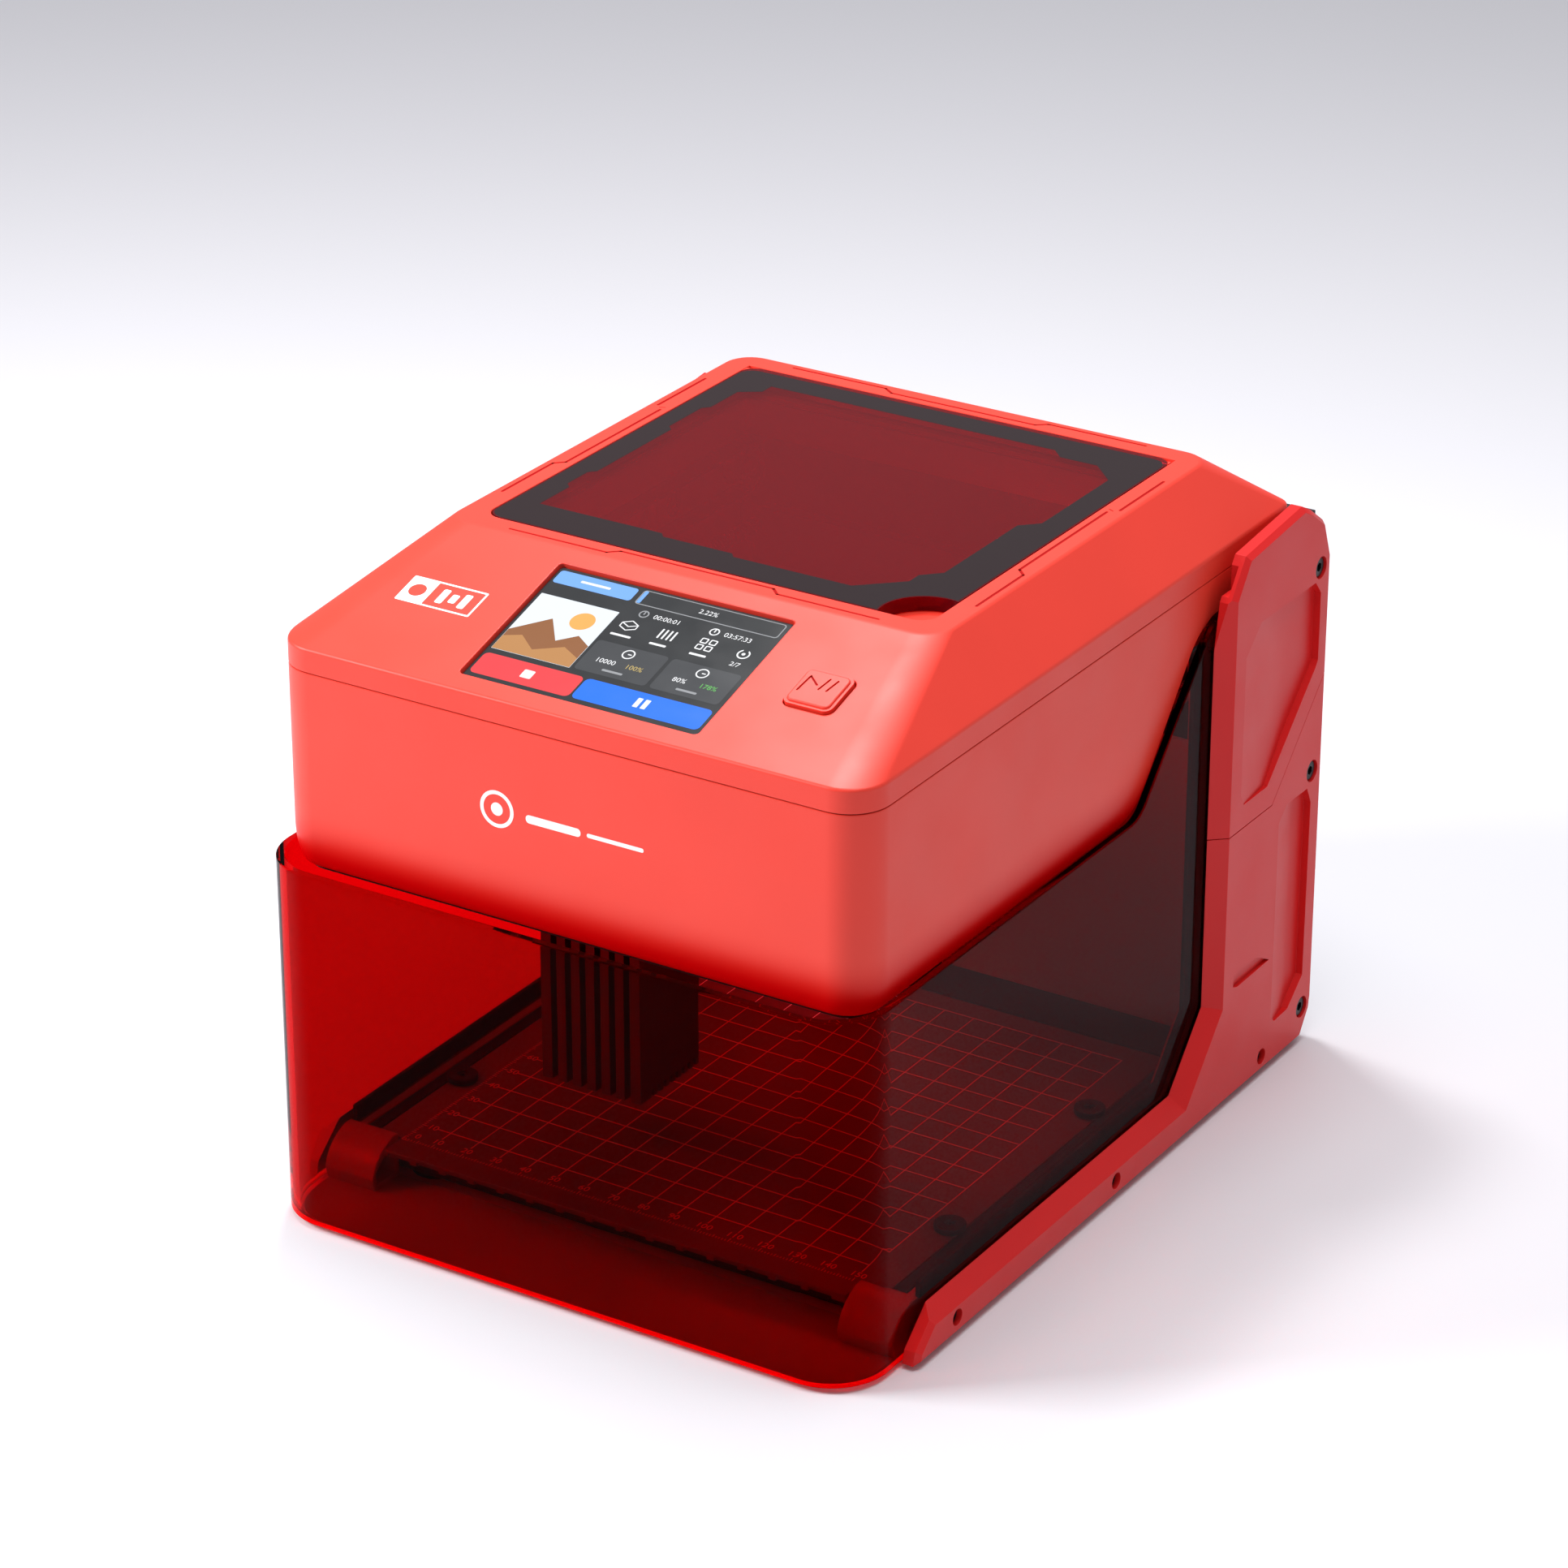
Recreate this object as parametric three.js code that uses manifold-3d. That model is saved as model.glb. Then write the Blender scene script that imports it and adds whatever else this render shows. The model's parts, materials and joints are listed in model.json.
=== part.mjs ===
// Desktop laser engraver with a flip-up light-tight visor, modelled in millimetres.
// X runs from left to right, Y from front to rear, Z up. The origin is the middle of the
// footprint, on the surface that the rubber feet stand on.
import * as THREE from "three";
import { mergeVertices } from "three/addons/utils/BufferGeometryUtils.js";
import Module from "manifold-3d";

const wasm = await Module();
wasm.setup();

// ---------------------------------------------------------------- driving dimensions
const GAP = 0.3; // between pieces that touch
const UNDERSIDE = 1.5; // height of the covers' lower edges
const BED_TOP = 13.5;
const BED_THICK = 2.5;
const BED_HALF_X = 84.7;
const BED_FRONT = -97.7;
const BED_REAR = 68.2;

const HOUSING_HALF_X = 94.1;
const HOUSING_FRONT = -118;
const HOUSING_REAR = 117.5;
const HOUSING_BOTTOM = 108.5;
const HOUSING_RAISED = 156; // lower edge of the housing where it rests on the columns
const SEAM = 167.5; // between the housing and the top cover
const SLOPE_FOOT = 174.4;
const TOP = 192.2;
const TOP_HALF_X = 78.9;
const TOP_FRONT = -56.9;
const TOP_REAR = 95.3;
const CORNER_R = 12;
const WALL = 2.5;

const WINDOW_HALF_X = 71;
const WINDOW_FRONT = -48.8;
const WINDOW_REAR = 87.6;

const LID_THICK = 4.1;
const LID_PIVOT = { y: WINDOW_REAR - LID_THICK / 2, z: TOP - 0.1 - LID_THICK / 2 };
const LID_PIN = { inner: 66, outer: 73.6 };
const SCOOP = { x: 68, y: -45.3, r: 12.9 }; // finger scoop in the lid's corner

const VISOR_HALF_X = 97.2;
const VISOR_FRONT = -127.3;
const VISOR_WALL = 2.6;
const VISOR_R = 18;
const VISOR_RIM = 111.5;
const VISOR_BOTTOM = 1.7;
const PIVOT = { y: 74, z: 147 };
const PIN_R = 4;

const COVER_IN = 97.7; // inner face of a side cover
const COVER_OUT = 102.6;
const FRAME_IN = 89.4; // inner side frame, a steel sheet
const FRAME_OUT = 92.2;
const REAR = 127.3;
const PANEL_REAR = 126;

const BEAM_X = -25.4; // where the laser stands at rest
const ROD_R = 2.5;
const BORE_R = 2.58;
const Y_ROD = { x: 84, z: 129 };
const X_ROD_Y = -20;
const X_ROD_Z = [121, 137];
const BELT_Z = 148.5; // middle of the X belt's width
const BELT_Y = -17;
const PULLEY_R = 6.37; // 20 teeth of 2 mm pitch
const BELT_THICK = 1.1;
const SHAFT = { y: -104, z: 150 };
const HEAD = { half: 16.6, front: -68, rear: -38, bottom: 33.5, top: 106 };

// ---------------------------------------------------------------- materials
const finish = (color, roughness, metalness = 0, opacity = 1) =>
  new THREE.MeshStandardMaterial({ color, roughness, metalness, opacity, transparent: opacity < 1 });
const CORAL = finish(0xe8503f, 0.4);
const DEEP_RED = finish(0xa01018, 0.45);
const VISOR_RED = finish(0xc00010, 0.08, 0, 0.6);
const SMOKE = finish(0x5a1820, 0.08, 0, 0.8);
const BLACK = finish(0x1c1c1f, 0.5);
const ANODISED = finish(0x1d1a1c, 0.4, 0.7);
const STEEL = finish(0xb8bcc2, 0.3, 1);
const BRASS = finish(0xc9a24a, 0.3, 1);
const RUBBER = finish(0x202022, 0.9);
const BOARD = finish(0x0d4f33, 0.6);
const SCREEN = finish(0x202428, 0.1);

const machine = new THREE.Group();

// ---------------------------------------------------------------- solids
function solidOf(geometry) {
  const bare = geometry.clone();
  bare.deleteAttribute("normal");
  bare.deleteAttribute("uv");
  const merged = mergeVertices(bare, 1e-4);
  return new wasm.Manifold(
    new wasm.Mesh({
      numProp: 3,
      vertProperties: merged.attributes.position.array,
      triVerts: new Uint32Array(merged.index.array),
    }),
  );
}

function geometryOf(solid) {
  const mesh = solid.getMesh();
  const geometry = new THREE.BufferGeometry();
  geometry.setAttribute("position", new THREE.BufferAttribute(mesh.vertProperties, 3));
  geometry.setIndex(new THREE.BufferAttribute(mesh.triVerts, 1));
  return geometry.toNonIndexed();
}

function add(name, shape, material, parent = machine) {
  const geometry = shape.isBufferGeometry ? shape : geometryOf(shape);
  geometry.computeVertexNormals();
  const mesh = new THREE.Mesh(geometry, material);
  mesh.name = name;
  parent.add(mesh);
  return mesh;
}

const join = (first, ...rest) => rest.reduce((sum, piece) => sum.add(piece), first);
const cut = (first, ...rest) => rest.reduce((left, piece) => left.subtract(piece), first);

// A box between two corners.
function box(x0, x1, y0, y1, z0, z1) {
  const geometry = new THREE.BoxGeometry(x1 - x0, y1 - y0, z1 - z0);
  return solidOf(geometry.translate((x0 + x1) / 2, (y0 + y1) / 2, (z0 + z1) / 2));
}

// A cylinder that runs along one axis, from low to high, through the point at.
function rod(axis, radius, low, high, at, sides = 20) {
  const geometry = new THREE.CylinderGeometry(radius, radius, high - low, sides);
  if (axis === "x") geometry.rotateZ(-Math.PI / 2).translate((low + high) / 2, at[0], at[1]);
  if (axis === "y") geometry.translate(at[0], (low + high) / 2, at[1]);
  if (axis === "z") geometry.rotateX(Math.PI / 2).translate(at[0], at[1], (low + high) / 2);
  return solidOf(geometry);
}

const outline = (points) => new THREE.Shape(points.map(([a, b]) => new THREE.Vector2(a, b)));

// Turns an outline drawn in XY and swept along Z into one drawn in YZ and swept along X.
const YZX = new THREE.Matrix4().makeBasis(
  new THREE.Vector3(0, 1, 0),
  new THREE.Vector3(0, 0, 1),
  new THREE.Vector3(1, 0, 0),
);

// A (Y, Z) outline swept along X.
function sweepX(shape, x0, x1, bevel = 0) {
  const geometry = new THREE.ExtrudeGeometry(shape, {
    depth: x1 - x0 - 2 * bevel,
    bevelEnabled: bevel > 0,
    bevelThickness: bevel,
    bevelSize: bevel,
    bevelOffset: -bevel,
    bevelSegments: 1,
    curveSegments: 5,
  });
  return solidOf(geometry.translate(0, 0, x0 + bevel).applyMatrix4(YZX));
}

// An (X, Z) outline swept along Y.
function sweepY(shape, y0, y1) {
  const geometry = new THREE.ExtrudeGeometry(shape, {
    depth: y1 - y0,
    bevelEnabled: false,
    curveSegments: 5,
  });
  return solidOf(geometry.rotateX(Math.PI / 2).translate(0, y1, 0));
}

// An (X, Y) outline swept up along Z.
function sweepZ(shape, z0, z1) {
  const geometry = new THREE.ExtrudeGeometry(shape, {
    depth: z1 - z0,
    bevelEnabled: false,
    curveSegments: 5,
  });
  return solidOf(geometry.translate(0, 0, z0));
}

// A rectangle with its own radius at the low-Y and at the high-Y corners.
function roundedRectangle(x0, x1, y0, y1, lowR, highR = lowR) {
  const shape = new THREE.Shape();
  shape.moveTo(x0 + lowR, y0);
  shape.lineTo(x1 - lowR, y0);
  shape.absarc(x1 - lowR, y0 + lowR, lowR, -Math.PI / 2, 0);
  shape.lineTo(x1, y1 - highR);
  shape.absarc(x1 - highR, y1 - highR, highR, 0, Math.PI / 2);
  shape.lineTo(x0 + highR, y1);
  shape.absarc(x0 + highR, y1 - highR, highR, Math.PI / 2, Math.PI);
  shape.lineTo(x0, y0 + lowR);
  shape.absarc(x0 + lowR, y0 + lowR, lowR, Math.PI, 1.5 * Math.PI);
  return shape;
}

// The same piece on both sides: draw makes the right-hand one, and the left one mirrors it.
function pair(name, draw, material) {
  const right = draw();
  add(`${name}_right`, right, material);
  add(`${name}_left`, right.mirror([1, 0, 0]), material);
}

// ---------------------------------------------------------------- sloping top
const frontRise = (TOP - SLOPE_FOOT) / (TOP_FRONT - HOUSING_FRONT);
const slopeAngle = Math.atan(frontRise);

// The stretch of the casing above the level low, drawn in by inset on every side.
function casing(inset, low) {
  const halfX = HOUSING_HALF_X - inset;
  const front = HOUSING_FRONT + inset;
  const rear = HOUSING_REAR - inset;
  const drop = inset * 0.35; // a slope moved in by its wall also starts a little lower
  const plan = roundedRectangle(-halfX, halfX, front, rear, CORNER_R - inset, 4.5 - inset);
  const side = outline([
    [front, low],
    [rear, low],
    [rear, SLOPE_FOOT - drop],
    [TOP_REAR - inset, TOP - inset],
    [TOP_FRONT + inset * 0.2, TOP - inset],
    [front, SLOPE_FOOT - inset * 0.75],
  ]);
  const face = outline([
    [-halfX, low],
    [halfX, low],
    [halfX, SLOPE_FOOT - drop],
    [TOP_HALF_X - inset * 0.5, TOP - inset],
    [-TOP_HALF_X + inset * 0.5, TOP - inset],
    [-halfX, SLOPE_FOOT - drop],
  ]);
  return sweepZ(plan, low, TOP + 1)
    .intersect(sweepX(side, -halfX - 1, halfX + 1))
    .intersect(sweepY(face, front - 1, rear + 1));
}

// A group whose XY plane is the front slope: its Y runs up the slope, and its origin is
// the middle of the slope's lower edge.
const slope = new THREE.Group();
slope.position.set(0, HOUSING_FRONT, SLOPE_FOOT);
slope.rotation.x = slopeAngle;
slope.updateMatrixWorld(true);
const onSlope = (solid) => solidOf(geometryOf(solid).applyMatrix4(slope.matrixWorld));

const SCREEN_PLACE = { x: 1.5, y: 31.9, halfX: 37.4, halfY: 25.1 };
const BUTTON_PLACE = { x: 60.7, y: 33, half: 7.4 };
const SCREEN_DEPTH = 1;

function padOnSlope(place, halfX, halfY, radius, z0, z1) {
  const shape = roundedRectangle(
    place.x - halfX,
    place.x + halfX,
    place.y - halfY,
    place.y + halfY,
    radius,
  );
  return onSlope(sweepZ(shape, z0, z1));
}

// ---------------------------------------------------------------- casing pieces
const lidPinHoles = () => {
  const right = rod(
    "x",
    1.06,
    LID_PIN.inner - GAP,
    LID_PIN.outer + GAP,
    [LID_PIVOT.y, LID_PIVOT.z],
    16,
  );
  return right.add(right.mirror([1, 0, 0]));
};

function makeTopCover() {
  const windowPrism = (grow, frontR, rearR, z0, z1 = TOP + 2) =>
    sweepZ(
      roundedRectangle(
        -WINDOW_HALF_X - grow,
        WINDOW_HALF_X + grow,
        WINDOW_FRONT - grow,
        WINDOW_REAR + grow,
        frontR,
        rearR,
      ),
      z0,
      z1,
    );
  const ledge = TOP - 0.1 - LID_THICK - GAP;
  const { halfX, halfY } = SCREEN_PLACE;
  const { half } = BUTTON_PLACE;
  const scoopFloor = rod("z", SCOOP.r + 1, ledge - 2.5, ledge, [SCOOP.x - 1, SCOOP.y + 1], 32);
  const shell = cut(
    join(
      cut(casing(0, SEAM + GAP / 2), casing(WALL + 0.5, SEAM - 1)),
      windowPrism(2.2, 7, 2, ledge - 2.5, TOP - 1),
    ),
    windowPrism(GAP, 5, 0.2, ledge),
    windowPrism(-4, 4, 4, ledge - 8).subtract(scoopFloor),
    lidPinHoles(),
    padOnSlope(SCREEN_PLACE, halfX + GAP, halfY + GAP, 1.5, -SCREEN_DEPTH - 1.2, 3),
    padOnSlope(SCREEN_PLACE, halfX - 2, halfY - 2, 1, -6, 3),
    padOnSlope(BUTTON_PLACE, half + GAP, half + GAP, 2.6, -8, 3),
  );
  add("top_cover", shell, CORAL);
}

function makeHousing() {
  const side = outline([
    [HOUSING_FRONT - 1, HOUSING_BOTTOM],
    [21, HOUSING_BOTTOM],
    [26.5, HOUSING_BOTTOM + 2.4],
    [30.5, HOUSING_BOTTOM + 7],
    [61, HOUSING_RAISED - 3.2],
    [65.5, HOUSING_RAISED],
    [HOUSING_REAR + 1, HOUSING_RAISED],
    [HOUSING_REAR + 1, SEAM - GAP / 2],
    [HOUSING_FRONT - 1, SEAM - GAP / 2],
  ]);
  const block = sweepX(side, -HOUSING_HALF_X, HOUSING_HALF_X).intersect(
    sweepZ(
      roundedRectangle(
        -HOUSING_HALF_X,
        HOUSING_HALF_X,
        HOUSING_FRONT,
        HOUSING_REAR,
        CORNER_R,
        4.5,
      ),
      0,
      SEAM,
    ),
  );
  const inside = roundedRectangle(
    -HOUSING_HALF_X + WALL,
    HOUSING_HALF_X - WALL,
    HOUSING_FRONT + WALL,
    HOUSING_REAR - WALL,
    CORNER_R - WALL,
    2,
  );
  add("main_housing", block.subtract(sweepZ(inside, 0, TOP)), CORAL);
}

// The lid's rear edge is a half-round that turns in the bezel on two short pins.
function makeWindow() {
  const half = LID_THICK / 2;
  const plate = roundedRectangle(
    -WINDOW_HALF_X,
    WINDOW_HALF_X,
    WINDOW_FRONT,
    LID_PIVOT.y,
    5,
    0.01,
  );
  const lid = cut(
    join(
      sweepZ(plate, LID_PIVOT.z - half, LID_PIVOT.z + half),
      rod("x", half, -WINDOW_HALF_X, WINDOW_HALF_X, [LID_PIVOT.y, LID_PIVOT.z], 24),
    ),
    rod("z", SCOOP.r, TOP - 8, TOP + 2, [SCOOP.x, SCOOP.y], 48),
    lidPinHoles(),
  );
  add("window_lid", lid, SMOKE);
  pair(
    "window_hinge_pin",
    () => rod("x", 1, LID_PIN.inner, LID_PIN.outer, [LID_PIVOT.y, LID_PIVOT.z], 16),
    STEEL,
  );
}

function makeScreenAndButton() {
  const { halfX, halfY } = SCREEN_PLACE;
  add("touchscreen", padOnSlope(SCREEN_PLACE, halfX, halfY, 1.2, -1.9, -0.6), SCREEN);
  const half = BUTTON_PLACE.half;
  const cap = join(
    padOnSlope(BUTTON_PLACE, half, half, 2.4, -3, 0.9),
    padOnSlope(BUTTON_PLACE, half - 0.8, half - 0.8, 1.8, 0.8, 1.5),
    padOnSlope(BUTTON_PLACE, 2, 2, 0.6, -5, -2.9),
  );
  add("start_button", cap, CORAL);
  add("button_switch", padOnSlope(BUTTON_PLACE, 3.1, 3.1, 0.3, -9.3, -6.6), BLACK);
  const board = padOnSlope({ x: 12, y: 32 }, 60, 25, 2, -11.2, -9.6);
  add("mainboard", board, BOARD);
}

// ---------------------------------------------------------------- side covers
const COVER_EDGE = [
  [-103, UNDERSIDE],
  [-102, 5.4],
  [-91, 14.8],
  [46, 14.8],
  [64.6, 35.5],
  [64.6, 148],
  [67, 162],
  [75.4, 173.7],
  [109.2, 177.1],
  [114.6, 174.3],
  [123, 168.3],
  [REAR, 157],
  [REAR, 14],
  [126.6, 9.6],
  [121, UNDERSIDE],
];
// The edge that faces the visor: rail top, gusset and post front, run on past the cover.
const COVER_MOUTH = [
  [-160, -40],
  [-160, 14.8],
  [46, 14.8],
  [64.6, 35.5],
  [64.6, 260],
  [180, 260],
  [180, -40],
];
const COVER_SEAM = [
  [REAR + 5, 126],
  [95.3, 89],
  [55, 89],
];

function coverBlank() {
  const chamfer = 1.5;
  const slab = sweepX(outline(COVER_EDGE), COVER_IN - chamfer, COVER_OUT, chamfer);
  const mouth = new THREE.ExtrudeGeometry(outline(COVER_MOUTH), {
    depth: 1,
    bevelThickness: COVER_OUT - COVER_IN,
    bevelSize: 4.4,
    bevelOffset: -4.4,
    bevelSegments: 1,
  });
  const turned = solidOf(mouth.applyMatrix4(YZX).translate(COVER_IN - 1, 0, 0));
  return slab.intersect(turned).subtract(box(0, COVER_IN, -200, 200, -20, 250));
}

// A recess whose floor slopes from flush at its front to its full depth at its rear.
function rampedRecess(points, depth) {
  const block = sweepX(outline(points), COVER_OUT - depth, COVER_OUT + 5);
  const ys = points.map((point) => point[0]);
  const front = Math.min(...ys);
  const rear = front + (Math.max(...ys) - front) * 0.62;
  const keep = sweepZ(
    outline([
      [COVER_OUT - 6, front - 1],
      [COVER_OUT + 0.01, front - 1],
      [COVER_OUT - depth, rear],
      [COVER_OUT - 6, rear],
    ]),
    -10,
    250,
  );
  return block.subtract(keep);
}

const UPPER_RECESS = [
  [75.3, 100],
  [77.3, 96.4],
  [91.6, 96.4],
  [119.8, 123.4],
  [121.2, 125.4],
  [121.2, 146.5],
  [117.6, 150.8],
  [84, 150.8],
  [75.3, 142.8],
];
const LOWER_RECESS = [
  [100.3, 18],
  [102.6, 15.4],
  [111.2, 15.8],
  [120.2, 23.3],
  [120.6, 80],
  [117.9, 85.3],
  [105, 85.3],
  [100.3, 81],
];
const STEP_RECESS = [
  [75, 38.6],
  [77.6, 37.7],
  [97.6, 38],
  [89.4, 42.2],
  [75.4, 42.7],
];
const SCREW_PLACES = [
  [120.6, 154.5],
  [120.6, 90],
  [120.6, 12.2],
];
const PLAIN_HOLES = [
  [95.2, 6.9],
  [6.7, 6.9],
  [-82, 6.9],
];

function makeSideCovers() {
  const counterbores = [...SCREW_PLACES, ...PLAIN_HOLES].map((place) =>
    rod("x", place[1] > 7 ? 3.4 : 2.5, COVER_OUT - 2.6, COVER_OUT + 1, place, 20),
  );
  const body = cut(
    coverBlank(),
    rampedRecess(UPPER_RECESS, 2.2),
    rampedRecess(LOWER_RECESS, 2.2),
    sweepX(outline(STEP_RECESS), COVER_OUT - 1.2, COVER_OUT + 2),
    box(0, COVER_IN + 2.2, 60, 73.5, 163.5, 180),
    ...counterbores,
  );
  const above = (lift) =>
    sweepX(
      outline([
        ...COVER_SEAM.map(([y, z]) => [y, z + lift]),
        [55, 250],
        [REAR + 5, 250],
      ]),
      90,
      110,
    );
  pair("side_cover_upper", () => body.intersect(above(GAP / 2)), CORAL);
  pair("side_cover_lower", () => body.subtract(above(-GAP / 2)), CORAL);
}

// ---------------------------------------------------------------- chassis
function makeSideFrames() {
  const profile = outline([
    [-89.7, UNDERSIDE],
    [117.5, UNDERSIDE],
    [117.5, HOUSING_RAISED - GAP],
    [70, HOUSING_RAISED - GAP],
    [64.5, 149],
    [64.5, 33.6],
    [47, BED_TOP],
    [-89.7, BED_TOP],
  ]);
  const pinHole = rod("x", PIN_R + 0.05, FRAME_IN - 1, FRAME_OUT + 1, [PIVOT.y, PIVOT.z], 24);
  const column = box(FRAME_IN, COVER_IN - GAP, 92, 117.5, UNDERSIDE, HOUSING_RAISED - GAP);
  pair(
    "side_frame",
    () => cut(join(sweepX(profile, FRAME_IN, FRAME_OUT), column), pinHole),
    DEEP_RED,
  );
}

function makeRailEnds() {
  const nose = new THREE.Shape();
  nose.moveTo(-90, UNDERSIDE);
  nose.lineTo(-90, 15);
  nose.lineTo(-93, 15);
  nose.quadraticCurveTo(-101.5, 12.5, -103, 5.5);
  nose.lineTo(-102, UNDERSIDE);
  nose.closePath();
  const mouth = outline([
    [-91.5, 3.2],
    [-91.5, 13],
    [-94, 13],
    [-101.2, 7],
    [-101, 3.2],
  ]);
  pair("rail_end_cap", () => sweepX(nose, 77, 94).subtract(sweepX(mouth, 70, 90.5)), DEEP_RED);
}

function makeTray() {
  const half = FRAME_IN - GAP;
  const strip = BED_HALF_X + GAP;
  const floor = box(-half, half, -89.5, 117.5, 4, BED_TOP - BED_THICK - GAP);
  const strips = [
    box(strip, half, -89.5, 117.5, 9, BED_TOP),
    box(-half, -strip, -89.5, 117.5, 9, BED_TOP),
  ];
  add("base_tray", join(floor, ...strips, box(-half, half, 68.6, 117.5, 9, BED_TOP)), BLACK);
}

function makeBed() {
  const teeth = [];
  for (let x = -70; x <= 70; x += 10) {
    teeth.push(box(x - 5.6, x + 2, BED_FRONT - 1, BED_FRONT + 1.2, 5, BED_TOP - 1.1));
  }
  const plate = join(
    box(-BED_HALF_X, BED_HALF_X, -89.5, BED_REAR, BED_TOP - BED_THICK, BED_TOP),
    box(-76.6, 76.6, BED_FRONT, -89, BED_TOP - BED_THICK, BED_TOP),
  );
  add("bed_plate", cut(plate, ...teeth), BLACK);
  const places = [
    [-81.6, -52],
    [81.6, -52],
    [-81.6, 27],
    [81.6, 27],
  ];
  places.forEach(([x, y], index) => {
    add(
      `bed_washer_${index + 1}`,
      rod("z", 4.6, BED_TOP + GAP, BED_TOP + 2.2, [x, y], 24).subtract(
        rod("z", 1.6, BED_TOP - 1, BED_TOP + 4, [x, y], 12),
      ),
      BLACK,
    );
  });
}

function makeRear() {
  const half = FRAME_IN - GAP;
  const fanHole = rod("y", 27, 80, 95, [0, 62], 32);
  add(
    "rear_wall",
    cut(box(-half, half, 86, 88, BED_TOP + GAP, 107), fanHole),
    DEEP_RED,
  );
  const frame = cut(
    box(-30, 30, 88.3, 103, 32, 92),
    rod("y", 27.5, 87, 105, [0, 62], 32),
  );
  const motorMount = join(
    rod("y", 11, 99.5, 103, [0, 62], 20),
    box(-29, 29, 101, 103, 60.5, 63.5),
  );
  add("exhaust_fan_frame", join(frame, motorMount), BLACK);
  const shell = cut(
    box(-COVER_IN + GAP, COVER_IN - GAP, 118, PANEL_REAR, UNDERSIDE, 169.5),
    box(-COVER_IN + 3, COVER_IN - 3, 110, PANEL_REAR - WALL, 4, 167),
  );
  const slots = [];
  for (let z = 40; z <= 84; z += 5.5) {
    const halfSlot = Math.sqrt(Math.max(26 ** 2 - (z - 62) ** 2, 100));
    slots.push(box(-halfSlot, halfSlot, PANEL_REAR - 4, PANEL_REAR + 1, z - 1.4, z + 1.4));
  }
  const openings = [
    rod("y", 5.2, PANEL_REAR - 4, PANEL_REAR + 1, [-60, 22], 24),
    box(40, 60, PANEL_REAR - 4, PANEL_REAR + 1, 15.5, 28.5),
  ];
  add("rear_panel", cut(shell, ...slots, ...openings), BLACK);
  const jack = cut(
    join(
      rod("y", 4.9, 116, PANEL_REAR + 0.4, [-60, 22], 24),
      box(-66, -54, 110, 121, 16, 28),
    ),
    rod("y", 3.2, 114, PANEL_REAR + 1, [-60, 22], 20),
  );
  add("power_inlet", jack, BLACK);
  const rocker = outline([
    [PANEL_REAR - 6, 16.2],
    [PANEL_REAR + 0.2, 16.2],
    [PANEL_REAR + 0.9, 22],
    [PANEL_REAR + 1.2, 27.8],
    [PANEL_REAR - 6, 27.8],
  ]);
  add("power_rocker", sweepX(rocker, 40.5, 59.5), BLACK);
}

function makeFeet() {
  let index = 0;
  for (const x of [-72, 72]) {
    for (const y of [-78, 104]) {
      index += 1;
      add(`foot_${index}`, rod("z", 8, 0, 4 - GAP, [x, y], 24), RUBBER);
    }
  }
}

// ---------------------------------------------------------------- visor
function makeVisor() {
  const shroud = (inset, z0, z1) =>
    sweepZ(
      roundedRectangle(
        -VISOR_HALF_X + inset,
        VISOR_HALF_X - inset,
        VISOR_FRONT + inset,
        84 + (inset > 0 ? 20 : 0),
        VISOR_R - inset,
        0.01,
      ),
      z0,
      z1,
    );
  const side = outline([
    [VISOR_FRONT - 1, VISOR_BOTTOM],
    [56, VISOR_BOTTOM],
    [82, 30],
    [84, 36],
    [84, 150],
    [79, 157],
    [66, 157],
    [60.5, 153.5],
    [29.5, VISOR_RIM + 5.5],
    [25, VISOR_RIM + 1.4],
    [19, VISOR_RIM],
    [VISOR_FRONT - 1, VISOR_RIM],
  ]);
  const shell = sweepX(side, -VISOR_HALF_X - 1, VISOR_HALF_X + 1)
    .intersect(shroud(0, -5, 200))
    .subtract(shroud(VISOR_WALL, -6, 201));
  const holes = rod("x", PIN_R + 0.06, -110, 110, [PIVOT.y, PIVOT.z], 24);
  add("visor", shell.subtract(holes), VISOR_RED);
  pair(
    "visor_hinge_pin",
    () => rod("x", PIN_R, FRAME_IN, COVER_IN - GAP, [PIVOT.y, PIVOT.z], 24),
    STEEL,
  );
}

// ---------------------------------------------------------------- gantry
function makeGuides() {
  pair("y_rod", () => rod("y", ROD_R, -112.4, 114.7, [Y_ROD.x, Y_ROD.z]), STEEL);
  const bar = (half, y0, y1) =>
    cut(
      box(-half, half, y0, y1, 123, 135),
      ...[-1, 1].map((side) => rod("y", BORE_R, y0 - 1, y1 + 1, [side * Y_ROD.x, Y_ROD.z])),
    );
  add("front_cross_bar", bar(88.5, -112.4, -107.4), BLACK);
  add("rear_cross_bar", bar(FRAME_IN - GAP, 110, 114.7), BLACK);
}

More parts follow.
